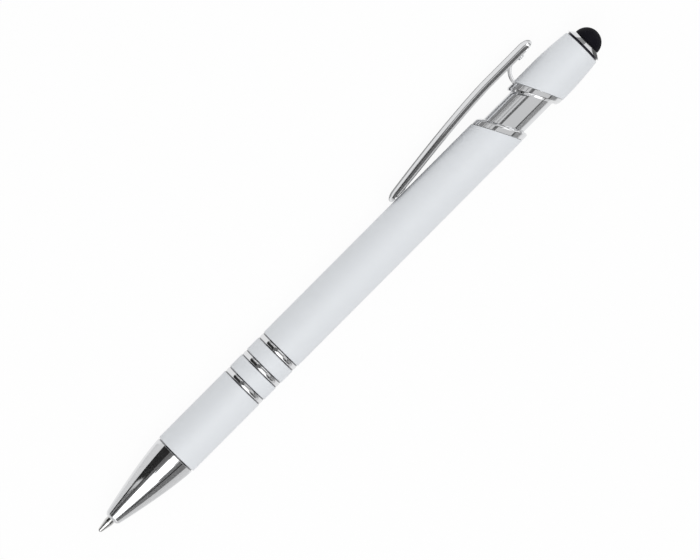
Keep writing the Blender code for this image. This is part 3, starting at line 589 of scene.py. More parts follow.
@dataclass(frozen=True)
class NibEnd:
    """Nose cone, writing point and ball."""

    mouth: float = 0.00346
    joint: float = 0.02186
    groove: float = 0.0003
    groove_radius: float = 0.00445
    # How dark the groove at the barrel's end is painted: painted shade standing for the shade in the groove
    groove_shade_share: float = 0.65
    base_radius: float = 0.00472
    lip: float = 0.0005
    lip_radius: float = 0.00174
    mouth_radius: float = 0.00135
    curve: float = 1.4
    bore: float = 0.00106
    throat: float = 0.00441
    well: float = 0.00127
    seat: float = 0.0109
    seat_radius: float = 0.00245
    spigot_radius: float = 0.00425
    spigot_bore: float = 0.00355
    spigot_top: float = 0.02806
    seam: float = 0.00006
    flank_rows: int = 64
    plug_radius: float = 0.00105
    plug_top: float = 0.01711
    plug_low: float = 0.01305
    body_radius: float = 0.00115
    body_low: float = 0.00656
    neck_radius: float = 0.00094
    neck_top: float = 0.00635
    neck_low: float = 0.0026
    point_radius: float = 0.00089
    point_top: float = 0.0024
    rim: float = 0.0002
    rim_radius: float = 0.00042
    rim_bore: float = 0.00035
    socket_radius: float = 0.00038
    socket_wall: float = 0.00019
    socket_depth: float = 0.00038
    point_columns: int = 96
    ball_radius: float = 0.00035
    ball_rows: int = 33
    ball_columns: int = 48

    def cone_rows(self) -> Array:
        """The cone's flank, whose radius falls with the 1.4th power of the way from barrel to lip.

        Returns:
            Outline rows from the barrel's end to the lip.
        """
        height = np.linspace(self.joint - self.groove, self.mouth + self.lip, self.flank_rows)
        share = (height - self.mouth - self.lip) / (self.joint - self.mouth - self.lip)
        radius = self.base_radius - (self.base_radius - self.lip_radius) * (1 - share) ** self.curve
        return plain_rows(radius, height)

    def cone(self) -> None:
        """Builds the hollow cone with its spigot, its rounded lip and the seat of the spring."""
        flank = self.cone_rows()
        # Painted shade on the groove's rows, standing for the shade in the groove
        groove_shading = (0.0, 0.0, self.groove_shade_share)
        shoulder = rows_of(
            (self.spigot_bore, self.spigot_top),
            (self.spigot_radius, self.spigot_top),
            (self.spigot_radius, self.joint - self.seam),
            (self.groove_radius, self.joint - self.seam, *groove_shading),
            (self.groove_radius, self.joint - self.groove, *groove_shading),
            tuple(flank[0]),
        )
        lip = rows_of(
            tuple(flank[-1]),
            (self.mouth_radius, self.mouth),
            (self.bore, self.mouth),
            (self.bore, self.throat),
            (self.well, self.throat),
            (self.well, self.seat),
            (self.seat_radius, self.seat),
            (self.seat_radius, self.seat + self.seat_radius),
            (self.spigot_bore, self.joint),
        )
        shoulder_reach = tenths(1, 1, 0.5, 0.3, 0.6, 0.8)
        lip_reach = tenths(3.0, 2.5, 0.5, 0.5, 0.5, 0.5, 0.5, 1, 1)
        top = rounded(shoulder, shoulder_reach, np.stack((lip[-1], flank[1])))
        mouth = rounded(lip, lip_reach, np.stack((flank[-2], shoulder[0])))
        mesh = turned_mesh("nose_cone", np.concatenate((top, flank[2:-2], mouth)))
        show("nose_cone_turned", mesh, CHROME, "nose_cone", Body.BARREL)

    def point(self) -> None:
        """Builds the writing point: a socket lip, a cone, a neck and the body that plugs into the tube."""
        corners = rows_of(
            (self.plug_radius, self.plug_top),
            (self.plug_radius, self.plug_low),
            (self.body_radius, self.plug_low),
            (self.body_radius, self.body_low),
            (self.neck_radius, self.neck_top),
            (self.neck_radius, self.neck_low),
            (self.point_radius, self.point_top),
            (self.rim_radius, self.rim),
            (self.rim_bore, self.rim),
            (self.socket_radius, self.ball_radius),
            (self.socket_radius, self.ball_radius + self.socket_wall),
        )
        ends = rows_of((0.0, self.plug_top), (0.0, self.ball_radius + self.socket_depth))
        reaches = tenths(1, 0.3, 0.3, 1, 0.6, 0.6, 0.6, 0.4, 0.2, 0.2, 0.3)
        mesh = turned_mesh("writing_point", plug_rows(corners, reaches, ends), self.point_columns)
        show("writing_point_turned", mesh, NICKEL_SILVER, "refill_point", Body.REFILL)

    def ball(self) -> None:
        """Builds the ball: at latitude a its radius is the ball's times cos a."""
        latitude = np.linspace(-math.pi / 2, math.pi / 2, self.ball_rows)
        radius = np.abs(self.ball_radius * np.cos(latitude))
        radius[[0, -1]] = 0.0
        height = self.ball_radius * (1 + np.sin(latitude))
        mesh = turned_mesh("writing_ball", plain_rows(radius, height), self.ball_columns)
        show("writing_ball_ground", mesh, CARBIDE, "writing_ball", Body.BALL)

    def build(self) -> None:
        """Builds all of the nib end."""
        self.cone()
        self.point()
        self.ball()


@dataclass(frozen=True)
class BarrelTube:
    """White barrel with its three bright rings and the bright ferrule in its slanted end."""

    radius: float = 0.0048
    bore: float = 0.0043
    joint: float = 0.02186
    cut: float = 0.11266
    band: float = 0.00184
    bevel: float = 0.00045
    bevel_height: float = 0.0005
    slant: float = math.tan(math.radians(27.0))
    ring_heights: tuple[float, ...] = (0.0405, 0.045235, 0.04997)
    ring_names: tuple[str, ...] = ("lower", "middle", "upper")
    ring_height: float = 0.0015
    groove: float = 0.00025
    ring_shoulder: float = 0.0002
    ring_crown: float = 0.00013
    ring_dome: float = 0.000105
    # How dark the ring shoulders are painted: painted shade standing for the shade in the grooves beside each ring
    ring_shade_share: float = 0.75
    dome_rows: int = 21
    groove_round: float = 4e-5
    low_round: float = 1.2e-4
    cut_round: float = 9e-5
    seam: float = 0.00006
    ferrule_low: float = 0.10366
    ferrule_radius: float = 0.00425
    ferrule_bore: float = 0.00385

    def tube(self) -> None:
        """Builds the tube, with a groove for each ring and softly broken edges."""
        floor = self.radius - self.groove
        grooves = [
            corner
            for low in self.ring_heights
            for corner in (
                (self.radius, low),
                (floor, low),
                (floor, low + self.ring_height),
                (self.radius, low + self.ring_height),
            )
        ]
        corners = rows_of(
            (self.bore, self.joint),
            (self.radius, self.joint),
            *grooves,
            (self.radius, self.cut, self.slant),
            (self.bore, self.cut, self.slant),
        )
        reaches = np.full(len(corners), self.groove_round)
        reaches[[1, -2]] = (self.low_round, self.cut_round)
        mesh = turned_mesh("barrel", rounded(corners, reaches), FINE_COLUMNS)
        show("barrel_coated", mesh, WHITE_COAT, "barrel", Body.BARREL)

    def ring(self, name: str, low: float) -> None:
        """Builds one ring: a face domed as a parabola, between two low shoulders darkened with painted shade,
        which stands for the shade at its edges.

        Args:
            name: Which ring it is.
            low: Height of its lower edge.
        """
        inner = self.radius - self.groove + self.seam / 2
        edge = self.radius - self.ring_crown
        foot, head = low + self.seam, low + self.ring_height - self.seam
        # Painted shade on the shoulder rows, standing for the shade in the grooves
        groove_shading = (0.0, 0.0, self.ring_shade_share)
        across = np.linspace(-1.0, 1.0, self.dome_rows)
        half = (head - foot) / 2 - self.ring_shoulder
        dome = plain_rows(self.radius - self.ring_dome * across**2, (foot + head) / 2 + half * across)
        corners = rows_of(
            (edge, head - self.ring_shoulder, *groove_shading),
            (edge, head, *groove_shading),
            (inner, head),
            (inner, foot),
            (edge, foot, *groove_shading),
            (edge, foot + self.ring_shoulder, *groove_shading),
        )
        shoulders = rounded(corners, tenths(0.3, 0.3, 0.2, 0.2, 0.3, 0.3), dome[[-2, 1]])
        node = f"trim_ring_{name}"
        mesh = turned_mesh(node, np.concatenate((dome[1:-1], shoulders)), FINE_COLUMNS)
        show(f"{node}_bright", mesh, CHROME, node, Body.BARREL)

    def ferrule(self) -> None:
        """Builds the ferrule: a sleeve in the bore and a slanted lip with a bevelled upper edge."""
        top = self.cut + self.band
        under = self.cut + self.seam
        corners = rows_of(
            (self.ferrule_bore, self.ferrule_low),
            (self.ferrule_radius, self.ferrule_low),
            (self.ferrule_radius, under, self.slant),
            (self.radius, under, self.slant),
            (self.radius, top - self.bevel_height, self.slant),
            (self.radius - self.bevel, top, self.slant),
            (self.ferrule_bore, top, self.slant),
        )
        outline = rounded(corners, tenths(1, 1, 0.3, 0.6, 2.0, 2.0, 0.8), steps=BEVEL_STEPS)
        mesh = turned_mesh("barrel_ferrule", outline, FINE_COLUMNS)
        show("barrel_ferrule_bright", mesh, CHROME, "barrel_ferrule", Body.BARREL)

    def build(self) -> None:
        """Builds all of the barrel."""
        self.tube()
        for name, low in zip(self.ring_names, self.ring_heights):
            self.ring(name, low)
        self.ferrule()


@dataclass(frozen=True)
class PlungerTop:
    """Neck, collar, white cap, stylus ring and rubber dome, which are pressed as one."""

    radius: float = 0.0048
    neck_radius: float = 0.00379
    neck_bore: float = 0.00329
    neck_low: float = 0.09751
    flange_top: float = 0.09851
    flange_radius: float = 0.00424
    neck_top: float = 0.12946
    neck_round: float = 8e-5
    collar: float = 0.1225
    collar_slant: float = math.tan(math.radians(28.5))
    collar_bore: float = 0.00384
    collar_bevel: float = 0.0003
    bevel_height: float = 0.0006
    cap: float = 0.12436
    cap_slant: float = math.tan(math.radians(25.0))
    cap_bore: float = 0.0043
    cap_top: float = 0.13666
    cap_taper: float = 0.0006
    taper_length: float = 0.0083
    taper_curve: float = 1.6
    taper_rows: int = 32
    head_rows: int = 4
    roof: float = 0.0048
    hole: float = 0.00256
    seam: float = 0.00006
    notch_depth: float = 0.000508
    dome: float = 0.13806
    dome_radius: float = 0.003
    dome_wall: float = 0.0007
    dome_rows: int = 40
    dome_columns: int = 128
    stem_radius: float = 0.00185
    stem_length: float = 0.0042
    ring_radius: float = 0.0043
    ring_foot: float = 0.0004
    ring_curve: float = 1.05
    ring_rows: int = 20
    # How dark the groove under the stylus ring is painted: painted shade standing for the shade between cap and
    # ring
    ring_shade_share: float = 1.0
    groove_radius: float = 0.0039
    spigot_radius: float = 0.00251
    spigot_bore: float = 0.00191
    spigot_length: float = 0.0033

    def neck(self) -> None:
        """Builds the neck's tube with its stop flange."""
        corners = rows_of(
            (self.neck_bore, self.neck_low),
            (self.flange_radius, self.neck_low),
            (self.flange_radius, self.flange_top),
            (self.neck_radius, self.flange_top),
            (self.neck_radius, self.neck_top),
            (self.neck_bore, self.neck_top),
        )
        outline = rounded(corners, np.full(len(corners), self.neck_round))
        mesh = turned_mesh("plunger_neck", outline, FINE_COLUMNS)
        show("plunger_neck_bright", mesh, CHROME, "plunger_neck", Body.PLUNGER)

    def collar_band(self) -> None:
        """Builds the collar, slanted on both faces, with a bevelled lower edge and a notch for the strap."""
        top = self.cap - self.seam
        corners = rows_of(
            (self.collar_bore, self.collar, self.collar_slant),
            (self.radius - self.collar_bevel, self.collar, self.collar_slant),
            (self.radius, self.collar + self.bevel_height, self.collar_slant),
            (self.radius, top, self.cap_slant, -self.notch_depth),
            (self.collar_bore, top, self.cap_slant, -self.notch_depth),
        )
        outline = rounded(corners, tenths(0.6, 1.0, 1.0, 0.6, 0.4), steps=BEVEL_STEPS)
        mesh = turned_mesh("clip_collar", outline, NOTCHED_COLUMNS)
        show("clip_collar_bright", mesh, CHROME, "clip_collar", Body.PLUNGER)

    def cap_shell(self) -> None:
        """Builds the cap: straight at first, then drawn in with the 1.6th power of the way to its top."""
        roof = self.cap_top - self.roof
        height = np.linspace(self.cap_top - self.taper_length, self.cap_top, self.taper_rows)
        run = (height - height[0]) / self.taper_length
        wall = plain_rows(self.radius - self.cap_taper * run**self.taper_curve, height)
        rim = rows_of(
            (self.cap_bore, roof),
            (self.cap_bore, self.cap, self.cap_slant, self.notch_depth),
            (self.radius, self.cap, self.cap_slant, self.notch_depth),
        )
        head = rows_of(tuple(wall[-1]), (self.hole, self.cap_top), (self.hole, roof))
        kept = len(wall) - self.head_rows
        rim_rows = rounded(rim, tenths(1.0, 0.5, 0.9), np.stack((head[-1], wall[0])))
        head_rows = rounded(head, tenths(2.4, 0.6, 0.6), np.stack((wall[kept], rim[0])))
        mesh = turned_mesh("cap", np.concatenate((rim_rows, wall[:kept], head_rows)), NOTCHED_COLUMNS)
        show("cap_coated", mesh, WHITE_COAT, "cap", Body.PLUNGER)

    def stylus_ring(self) -> None:
        """Builds the ring: a groove over the cap, then an almost straight flank that draws in to the dome."""
        low = self.cap_top + self.seam
        share = np.linspace(0.0, 1.0, self.ring_rows)
        rise = self.dome - low - self.ring_foot
        flank = plain_rows(
            self.ring_radius - (self.ring_radius - self.dome_radius) * share**self.ring_curve,
            low + self.ring_foot + rise * share,
        )
        # Painted shade on the groove's rows, standing for the shade between cap and ring
        groove_shading = (0.0, 0.0, self.ring_shade_share)
        corners = rows_of(
            (self.spigot_bore, self.dome),
            (self.spigot_bore, low - self.spigot_length),
            (self.spigot_radius, low - self.spigot_length),
            (self.spigot_radius, low),
            (self.groove_radius, low, *groove_shading),
            (self.groove_radius, low + self.ring_foot, *groove_shading),
        )
        foot = rounded(corners, tenths(0.6, 0.6, 0.6, 0.3, 0.3, 0.8), flank[[-1, 0]])
        mesh = turned_mesh("stylus_ring", np.concatenate((foot, flank)))
        show("stylus_ring_bright", mesh, CHROME, "stylus_ring", Body.PLUNGER)

    def dome_shell(self) -> None:
        """Builds the hollow dome, half a ball outside and in, on its hollow stem."""
        base = self.dome + self.seam
        arc = np.linspace(math.pi / 2, 0.0, self.dome_rows)
        hollow = self.dome_radius - self.dome_wall
        stem_bore = self.stem_radius - self.dome_wall
        outside = np.stack((self.dome_radius * np.cos(arc), base + self.dome_radius * np.sin(arc)), axis=1)
        cavity = hollow - self.dome_wall
        inside = np.stack((hollow * np.cos(arc), base + self.dome_wall + cavity * np.sin(arc)), axis=1)[::-1]
        stem = np.array(
            (
                (self.dome_radius, base),
                (self.stem_radius, base),
                (self.stem_radius, base - self.stem_length),
                (stem_bore, base - self.stem_length),
                (stem_bore, base + self.dome_wall),
            )
        )
        between = np.stack((outside[-2], inside[0]))
        stem_rows = rounded(stem, tenths(1.2, 0.6, 1.0, 1.0, 0.6), between)
        flat = np.concatenate((outside[:-1], stem_rows, inside))
        flat[[0, -1], 0] = 0.0
        mesh = turned_mesh("stylus_tip", plain_rows(*flat.T), self.dome_columns)
        show("stylus_dome_rubber", mesh, BLACK_RUBBER, "stylus_tip", Body.PLUNGER)

    def build(self) -> None:
        """Builds all of the plunger."""
        self.neck()
        self.collar_band()
        self.cap_shell()
        self.stylus_ring()
        self.dome_shell()


@dataclass(frozen=True)
class PocketClip:
    """Bowed clip blade, the bent strap that carries it and the rivet between them."""

    barrel_radius: float = 0.0048
    standoff: float = 0.00446
    nose_standoff: float = 0.0015
    curve: float = 1.46
    run: float = 0.03036
    top: float = 0.13046
    flat: float = 0.11806
    nose: float = 0.0877
    end_round: float = 0.0023
    nose_round: float = 0.0018
    width: float = 0.005
    nose_width: float = 0.0038
    depth: float = 0.00205
    nose_depth: float = 0.00155
    lip_lean: float = 0.03
    wall_top: tuple[float, float] = (0.942, 0.5)
    corner: tuple[float, float] = (0.926, 0.542)
    crown_edge: tuple[float, float] = (0.87, 0.6)
    crown_power: float = 2.2
    wall: float = 0.00055
    tip_level: float = 0.4
    lip_round: float = 0.00012
    lip_share: float = 0.3
    depth_power: int = 6
    first_arc: float = 0.06
    end_rows: int = 18
    body_rows: int = 180
    wall_rows: int = 9
    corner_rows: int = 8
    crown_rows: int = 21
    seam: float = 0.00006
    bead_length: float = 0.0038
    bead_width: float = 0.0018
    bead_depth: float = 0.0014
    bead_from_nose: float = 0.0032
    neck_radius: float = 0.00379
    cap: float = 0.12436
    cap_slant: float = math.tan(math.radians(25.0))
    strap_width: float = 0.0026
    strap_thickness: float = 0.0008
    strap_seat: float = 0.0006
    strap_bend: float = 0.00305
    strap_lead: float = 0.0001
    strap_ease: float = 0.475
    strap_tongue: float = 0.003
    strap_gap: float = 0.00024
    strap_round: float = 2e-4
    lead_rows: int = 8
    bend_rows: int = 40
    tongue_rows: int = 12
    hinge_row: int = 6
    held_row: int = 44
    rivet_radius: float = 0.0005
    rivet_head: float = 0.00075
    rivet_nub: float = 0.0003
    rivet_columns: int = 64

    @property
    def lip_height(self) -> float:
        """The blade's lower edge over the cap, from the axis."""
        return self.barrel_radius + self.standoff - self.depth

    @property
    def tongue_reach(self) -> float:
        """The strap's tongue, from the axis."""
        return self.lip_height + self.strap_seat

    def blade_heights(self) -> Array:
        """Heights of the blade's sections, closer together where the ends round off.

        Returns:
            Heights from the nose to the top.
        """
        arc = 1 - np.cos(np.linspace(self.first_arc, math.pi / 2, self.end_rows))
        nose = self.nose + self.nose_round * arc
        body = np.linspace(self.nose + self.nose_round, self.top - self.end_round, self.body_rows)[1:-1]
        end = self.top - self.end_round * arc[::-1]
        return np.concatenate((nose, body, end))

    def section(self) -> tuple[Array, Array]:
        """The blade's section from lip to lip over its crown.

        A wall leans in a little, and more with the square of its height, a
        parabola rounds the corner, and the crown falls away from the middle with
        the 2.2th power of the way across.

        Returns:
            Shares of the half width and shares of the depth.
        """
        (wall_across, wall_up), (edge_across, edge_up) = self.wall_top, self.crown_edge
        up = np.linspace(self.lip_round / self.depth, wall_up, self.wall_rows)
        bow = 1 - wall_across - self.lip_lean * wall_up
        wall = np.stack((1 - self.lip_lean * up - bow * (up / wall_up) ** 2, up), axis=1)
        share = np.linspace(0.0, 1.0, self.corner_rows)[1:-1, None]
        ends = np.array((self.wall_top, self.corner, self.crown_edge))
        corner = ends[0] * (1 - share) ** 2 + ends[1] * 2 * share * (1 - share) + ends[2] * share**2
        across = np.linspace(edge_across, 0.0, self.crown_rows)
        crown = np.stack((across, 1 - (1 - edge_up) * (across / edge_across) ** self.crown_power), axis=1)
        half = np.concatenate((wall, corner, crown))
        back = half[-2::-1]
        return np.append(half[:, 0], -back[:, 0]), np.append(half[:, 1], back[:, 1])

    def blade(self) -> None:
        """Builds the pressed blade.

        Across, it is a channel with a hollow of the same form inside. Along, its
        crown stays level over the cap and falls towards the nose with the 1.46th
        power of the way, both ends are rounded by the circle's sine, and a bead
        on the under side rests on the barrel.
        """
        z = self.blade_heights()
        from_nose = np.clip((z - self.nose) / self.nose_round, 0.0, 1.0)
        from_top = np.clip((self.top - z) / self.end_round, 0.0, 1.0)
        round_off = np.sqrt(1 - (1 - from_nose) ** 2) * np.sqrt(1 - (1 - from_top) ** 2)
        along = np.clip((z - self.nose) / self.run, 0.0, 1.0)
        half = (self.nose_width + (self.width - self.nose_width) * along) / 2 * round_off
        depth = self.depth - (self.depth - self.nose_depth) * (1 - along) ** self.depth_power
        fall = np.clip((self.flat - z) / self.run, 0.0, 1.0) ** self.curve
        crown = self.barrel_radius + self.standoff - (self.standoff - self.nose_standoff) * fall
        lip = crown - depth
        middle = lip + depth * self.tip_level
        crown = middle + (crown - middle) * round_off
        lip = middle - (middle - lip) * round_off
        solid = self.bead_from_nose + self.bead_length / 2
        hollow = np.clip((z - self.nose - solid) / self.depth, 0.0, 1.0)
        hollow = hollow * np.clip(2 * from_top - 1, 0.0, 1.0)
        wall = self.wall * round_off
        inside = half - wall
        edge = self.lip_round * round_off
        brow = self.lip_share * edge
        share, up = self.section()
        columns = [
            ((half - edge)[:, None], lip[:, None]),
            ((half - brow)[:, None], (lip + brow)[:, None]),
            (half[:, None] * share, lip[:, None] + (crown - lip)[:, None] * up),
            ((brow - half)[:, None], (lip + brow)[:, None]),
            ((edge - half)[:, None], lip[:, None]),
            (-inside[:, None] * share, lip[:, None] + ((crown - wall - lip) * hollow)[:, None] * up),
        ]
        across = np.concatenate([column[0] for column in columns], axis=1)
        reach = np.concatenate([column[1] for column in columns], axis=1)
        reach = self.with_bead(reach, across, z)
        grid = np.stack((reach, across, np.broadcast_to(z[:, None], reach.shape)), axis=-1)
        tips = np.array([(middle[0], 0.0, self.nose), (middle[-1], 0.0, self.top)])
        mesh = grid_mesh("clip_blade", grid, (tips[0], tips[1]))
        show("clip_blade_bright", mesh, CHROME, "clip_blade", Body.CLIP)

    def with_bead(self, reach: Array, across: Array, z: Array) -> Array:
        """Pushes the under side out to the bead, half an ellipsoid that rests on the barrel.

        Args:
            reach: Distance of the blade's points from the axis.
            across: Their place across the pen.
            z: Height of each row.

        Returns:
            The distances with the bead.
        """
        inner = np.arange(reach.shape[1]) >= reach.shape[1] // 2
        long = (z - self.nose - self.bead_from_nose) / (self.bead_length / 2)
        wide = across / (self.bead_width / 2)
        swell = np.sqrt(np.clip(1 - long[:, None] ** 2 - wide**2, 0.0, None))
        middle = self.barrel_radius + self.seam + self.bead_depth / 2
        bead = middle - swell * self.bead_depth / 2
        return np.where(inner & (swell > 0), np.minimum(reach, bead), reach)

    def strap_path(self) -> Array:
        """The strap's middle line: out along the cap's joint, up in one bend and on as a tongue.

        Returns:
            Reach and height of points on a straight run, a cubic curve and a straight run.
        """
        start_reach = self.neck_radius + self.strap_gap
        mouth_reach = self.barrel_radius - self.seam
        start = np.array((start_reach, self.cap - start_reach * self.cap_slant))
        mouth = np.array((mouth_reach, self.cap - mouth_reach * self.cap_slant))
        end = np.array((self.tongue_reach, mouth[1] + self.strap_bend))
        first = np.array(((mouth_reach + self.tongue_reach) / 2, mouth[1] + self.strap_lead))
        second = np.array((self.tongue_reach, mouth[1] + self.strap_ease * self.strap_bend))
        share = np.linspace(0.0, 1.0, self.bend_rows)[:, None]
        rest = 1 - share
        bend = mouth * rest**3 + 3 * first * rest**2 * share + 3 * second * rest * share**2 + end * share**3
        lead = start + (mouth - start) * np.linspace(0.0, 1.0, self.lead_rows)[:-1, None]
        on = np.linspace(0.0, 1.0, self.tongue_rows)[1:, None]
        tongue = end + np.array((0.0, self.strap_tongue)) * on
        return np.concatenate((lead, bend, tongue))

    def strap(self) -> None:
        """Builds the strap, a flat strip with rounded edges carried along its middle line."""
        line = self.strap_path()
        ahead = np.gradient(line, axis=0)
        ahead = ahead / np.linalg.norm(ahead, axis=1, keepdims=True)
        flat = np.zeros(len(line))
        path = np.stack((line[:, 0], flat, line[:, 1]), axis=1)
        up = np.stack((-ahead[:, 1], flat, ahead[:, 0]), axis=1)
        across = np.stack((flat, flat + 1.0, flat), axis=1)
        wide, thick = self.strap_width / 2, self.strap_thickness / 2
        corners = np.array(((-wide, -thick), (wide, -thick), (wide, thick), (-wide, thick)))
        section = rounded(corners, np.full(len(corners), self.strap_round))
        mesh = swept_mesh("clip_strap", path, across, up, section)
        strap = show("clip_strap_bent", mesh, CHROME, "clip_strap")
        hinge, held = (PEN.spot(*path[row]) for row in (self.hinge_row, self.held_row))
        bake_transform(strap)

    def rivet(self) -> None:
        """Builds the rivet, turned about a line from the barrel through the strap's tongue."""
        top = self.barrel_radius + self.standoff - self.wall - self.seam
        under = self.tongue_reach - self.strap_thickness / 2 - self.seam
        nub = self.lip_height - self.rivet_nub
        corners = rows_of(
            (self.rivet_radius, top),
            (self.rivet_radius, under),
            (self.rivet_head, under),
            (self.rivet_head, nub),
        )
        ends = rows_of((0.0, top), (0.0, nub))
        outline = plug_rows(corners, tenths(0.5, 0.3, 0.6, 2.6), ends)
        place = self.strap_path()[-1, 1] - self.strap_tongue / 2
        grid = lathe(outline[1:-1], self.rivet_columns)
        grid = np.stack((grid[..., 2], grid[..., 1], place + grid[..., 0]), axis=-1)
        poles = np.array(((top, 0.0, place), (nub, 0.0, place)))
        mesh = grid_mesh("clip_rivet", grid, (poles[0], poles[1]))
        show("clip_rivet_bright", mesh, CHROME, "clip_rivet", Body.CLIP)

    def build(self) -> None:
        """Builds all of the clip."""
        self.blade()
        self.strap()
        self.rivet()


@dataclass(frozen=True)
class ClickWorks:
    """Return spring, and the finishes of the hidden pieces of the click mechanism and the refill."""

    spring_low: float = 0.01096
    spring_high: float = 0.03226
    spring_radius: float = 0.00195
    wire: float = 0.0004
    turns: int = 12
    steps_a_turn: int = 28
    wire_sides: int = 14
    seam: float = 0.00006
    dressed: dict[str, Finish] = field(
        default_factory=lambda: {
            "cam_sleeve": BLACK_ACETAL,
            "rotor": WHITE_ACETAL,
            "push_cam": BLACK_ACETAL,
            "cap_core": WHITE_ACETAL,
            "refill_tube": REFILL_PLASTIC,
            "ink": BLUE_INK,
        }
    )

    def spring(self) -> None:
        """Builds the spring: a round wire along a helix from the nose cone's seat to the refill's wings."""
        share = np.linspace(0.0, 1.0, self.turns * self.steps_a_turn + 1)
        angle = 2 * math.pi * self.turns * share
        low = self.spring_low + self.wire / 2
        high = self.spring_high - self.wire / 2 - self.seam
        flat = np.zeros_like(angle)
        out = np.stack((np.cos(angle), np.sin(angle), flat), axis=1)
        path = self.spring_radius * out
        path[:, 2] = low + (high - low) * share
        climb = (high - low) / (2 * math.pi * self.turns * self.spring_radius)
        ahead = np.stack((-np.sin(angle), np.cos(angle), flat + climb), axis=1)
        ahead = ahead / np.linalg.norm(ahead, axis=1, keepdims=True)
        turn = np.linspace(0.0, 2 * math.pi, self.wire_sides, endpoint=False)
        section = np.stack((np.cos(turn), np.sin(turn)), axis=1) * self.wire / 2
        mesh = swept_mesh("return_spring", path, out, np.cross(ahead, out), section)
        spring = show("return_spring_wound", mesh, SPRING_STEEL, "return_spring")
        PEN.spot(0.0, 0.0, self.spring_low)
        PEN.spot(0.0, 0.0, self.spring_high)
        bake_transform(spring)

    def dress_nodes(self) -> None:
        """Gives each CAD node that stays its finish."""
        for node, finish in self.dressed.items():
            slots = frame["nodes"][node].data.materials
            slots.clear()
            slots.append(finish.material())
            LOG.info("%s: CAD shape, %s", node, finish.slot.value)

    def build(self) -> None:
        """Builds the spring and dresses the rest."""
        self.spring()
        self.dress_nodes()


# Studio


def matt(name: str, tone: float) -> bpy.types.Material:
    """A grey material without any gloss.

    Args:
        name: Its name.
        tone: Its grey.

    Returns:
        The material.
    """
    made = bpy.data.materials.new(name)
    made.use_nodes = True
    shader = made.node_tree.nodes["Principled BSDF"]
    shader.inputs["Base Color"].default_value = (tone, tone, tone, 1.0)
    shader.inputs["Roughness"].default_value = 1.0
    shader.inputs["Specular IOR Level"].default_value = 0.0
    return made


def stand(made: bpy.types.Object, place: Vector, *axes: Array) -> None:
    """Stands an object at a place, with its own three directions along the given ones."""
    made.matrix_world = Matrix.Translation(place) @ Matrix(np.stack(axes, axis=1).tolist()).to_4x4()


def stage_sheet(name: str, grid: Array, tone: float, shades: bool = False) -> None:
    """Stands a matt grey sheet beside the pen, which the pen's mirrors show and the camera doesn't.

    Args:
        name: Name of the sheet.
        grid: Points as rows x columns x 3, in the pen's own frame.
        tone: Its grey.
        shades: Whether it also keeps light from matt surfaces.
    """
    rows, columns = grid.shape[:2]
    numbers = np.arange(rows * columns).reshape(rows, columns)
    faces = np.stack((numbers[:-1, :-1], numbers[:-1, 1:], numbers[1:, 1:], numbers[1:, :-1]), axis=-1)
    mesh = bpy.data.meshes.new(name)
    mesh.from_pydata(PEN.place(grid.reshape(-1, 3)).tolist(), [], faces.reshape(-1, 4).tolist())
    sheet = put(name, mesh)
    mesh.materials.append(matt(name, tone))
    sheet.visible_camera = False
    sheet.visible_diffuse = shades
    sheet.visible_shadow = shades


@dataclass(frozen=True)
class Card:
    """A card bent round the pen, which its bright metal mirrors.

    Its angles are measured about the pen's axis, from the camera's side towards
    the side away from the clip, and its ends along the axis.
    """

    name: str
    first: float
    last: float
    low: float
    high: float
    tone: float
    radius: float = 0.4
    shades: bool = False
    rows: int = 24

    def build(self) -> None:
        """Builds the card: a turn about the axis on a grid, straight along the axis."""
        turn = np.radians(np.linspace(self.first, self.last, self.rows))[:, None]
        reach, across = -self.radius * np.sin(turn), self.radius * np.cos(turn)
        grid = np.broadcast_arrays(reach, across, np.array((self.low, self.high)))
        stage_sheet(self.name, np.stack(grid, axis=-1), self.tone, self.shades)


@dataclass(frozen=True)
class FloorSheet:
    """A sheet laid on the floor, between two distances from the pen's axis and two heights along it."""

    name: str
    near: float
    far: float
    low: float
    high: float
    tone: float
    lift: float = 0.0002

    def build(self) -> None:
        """Builds the sheet: the place across the pen is where its distance from the axis meets the floor."""
        ends = np.array((self.near, self.far)), np.array((self.low, self.high))
        reach, height = np.meshgrid(*ends, indexing="ij")
        across = (self.lift - PEN.end[2] - reach * PEN.clip[2]) / PEN.side[2]
        stage_sheet(self.name, np.stack((reach, across, height), axis=-1), self.tone)


@dataclass(frozen=True)
class Lamp:
    """A soft rectangular lamp that faces one place on the pen.

    Its turn is measured as a card's, its lean towards the cap's end.
    """

    name: str
    radiance: float
    turn: float
    lean: float
    away: float
    size: tuple[float, float]
    aim: float

    def build(self) -> None:
        """Builds the lamp, with its longer side along the axis."""
        long, wide = self.size
        data = bpy.data.lights.new(self.name, "AREA")
        data.shape = "RECTANGLE"
        data.size, data.size_y = long, wide
        data.energy = self.radiance * math.pi * long * wide
        turn, lean = math.radians(self.turn), math.radians(self.lean)
        out = math.cos(turn) * PEN.side - math.sin(turn) * PEN.clip
        ahead = math.cos(lean) * out + math.sin(lean) * PEN.axis
        along = math.cos(lean) * PEN.axis - math.sin(lean) * out
        place = PEN.spot(0.0, 0.0, self.aim) + Vector(ahead) * self.away
        stand(put(self.name, data), place, along, np.cross(ahead, along), ahead)


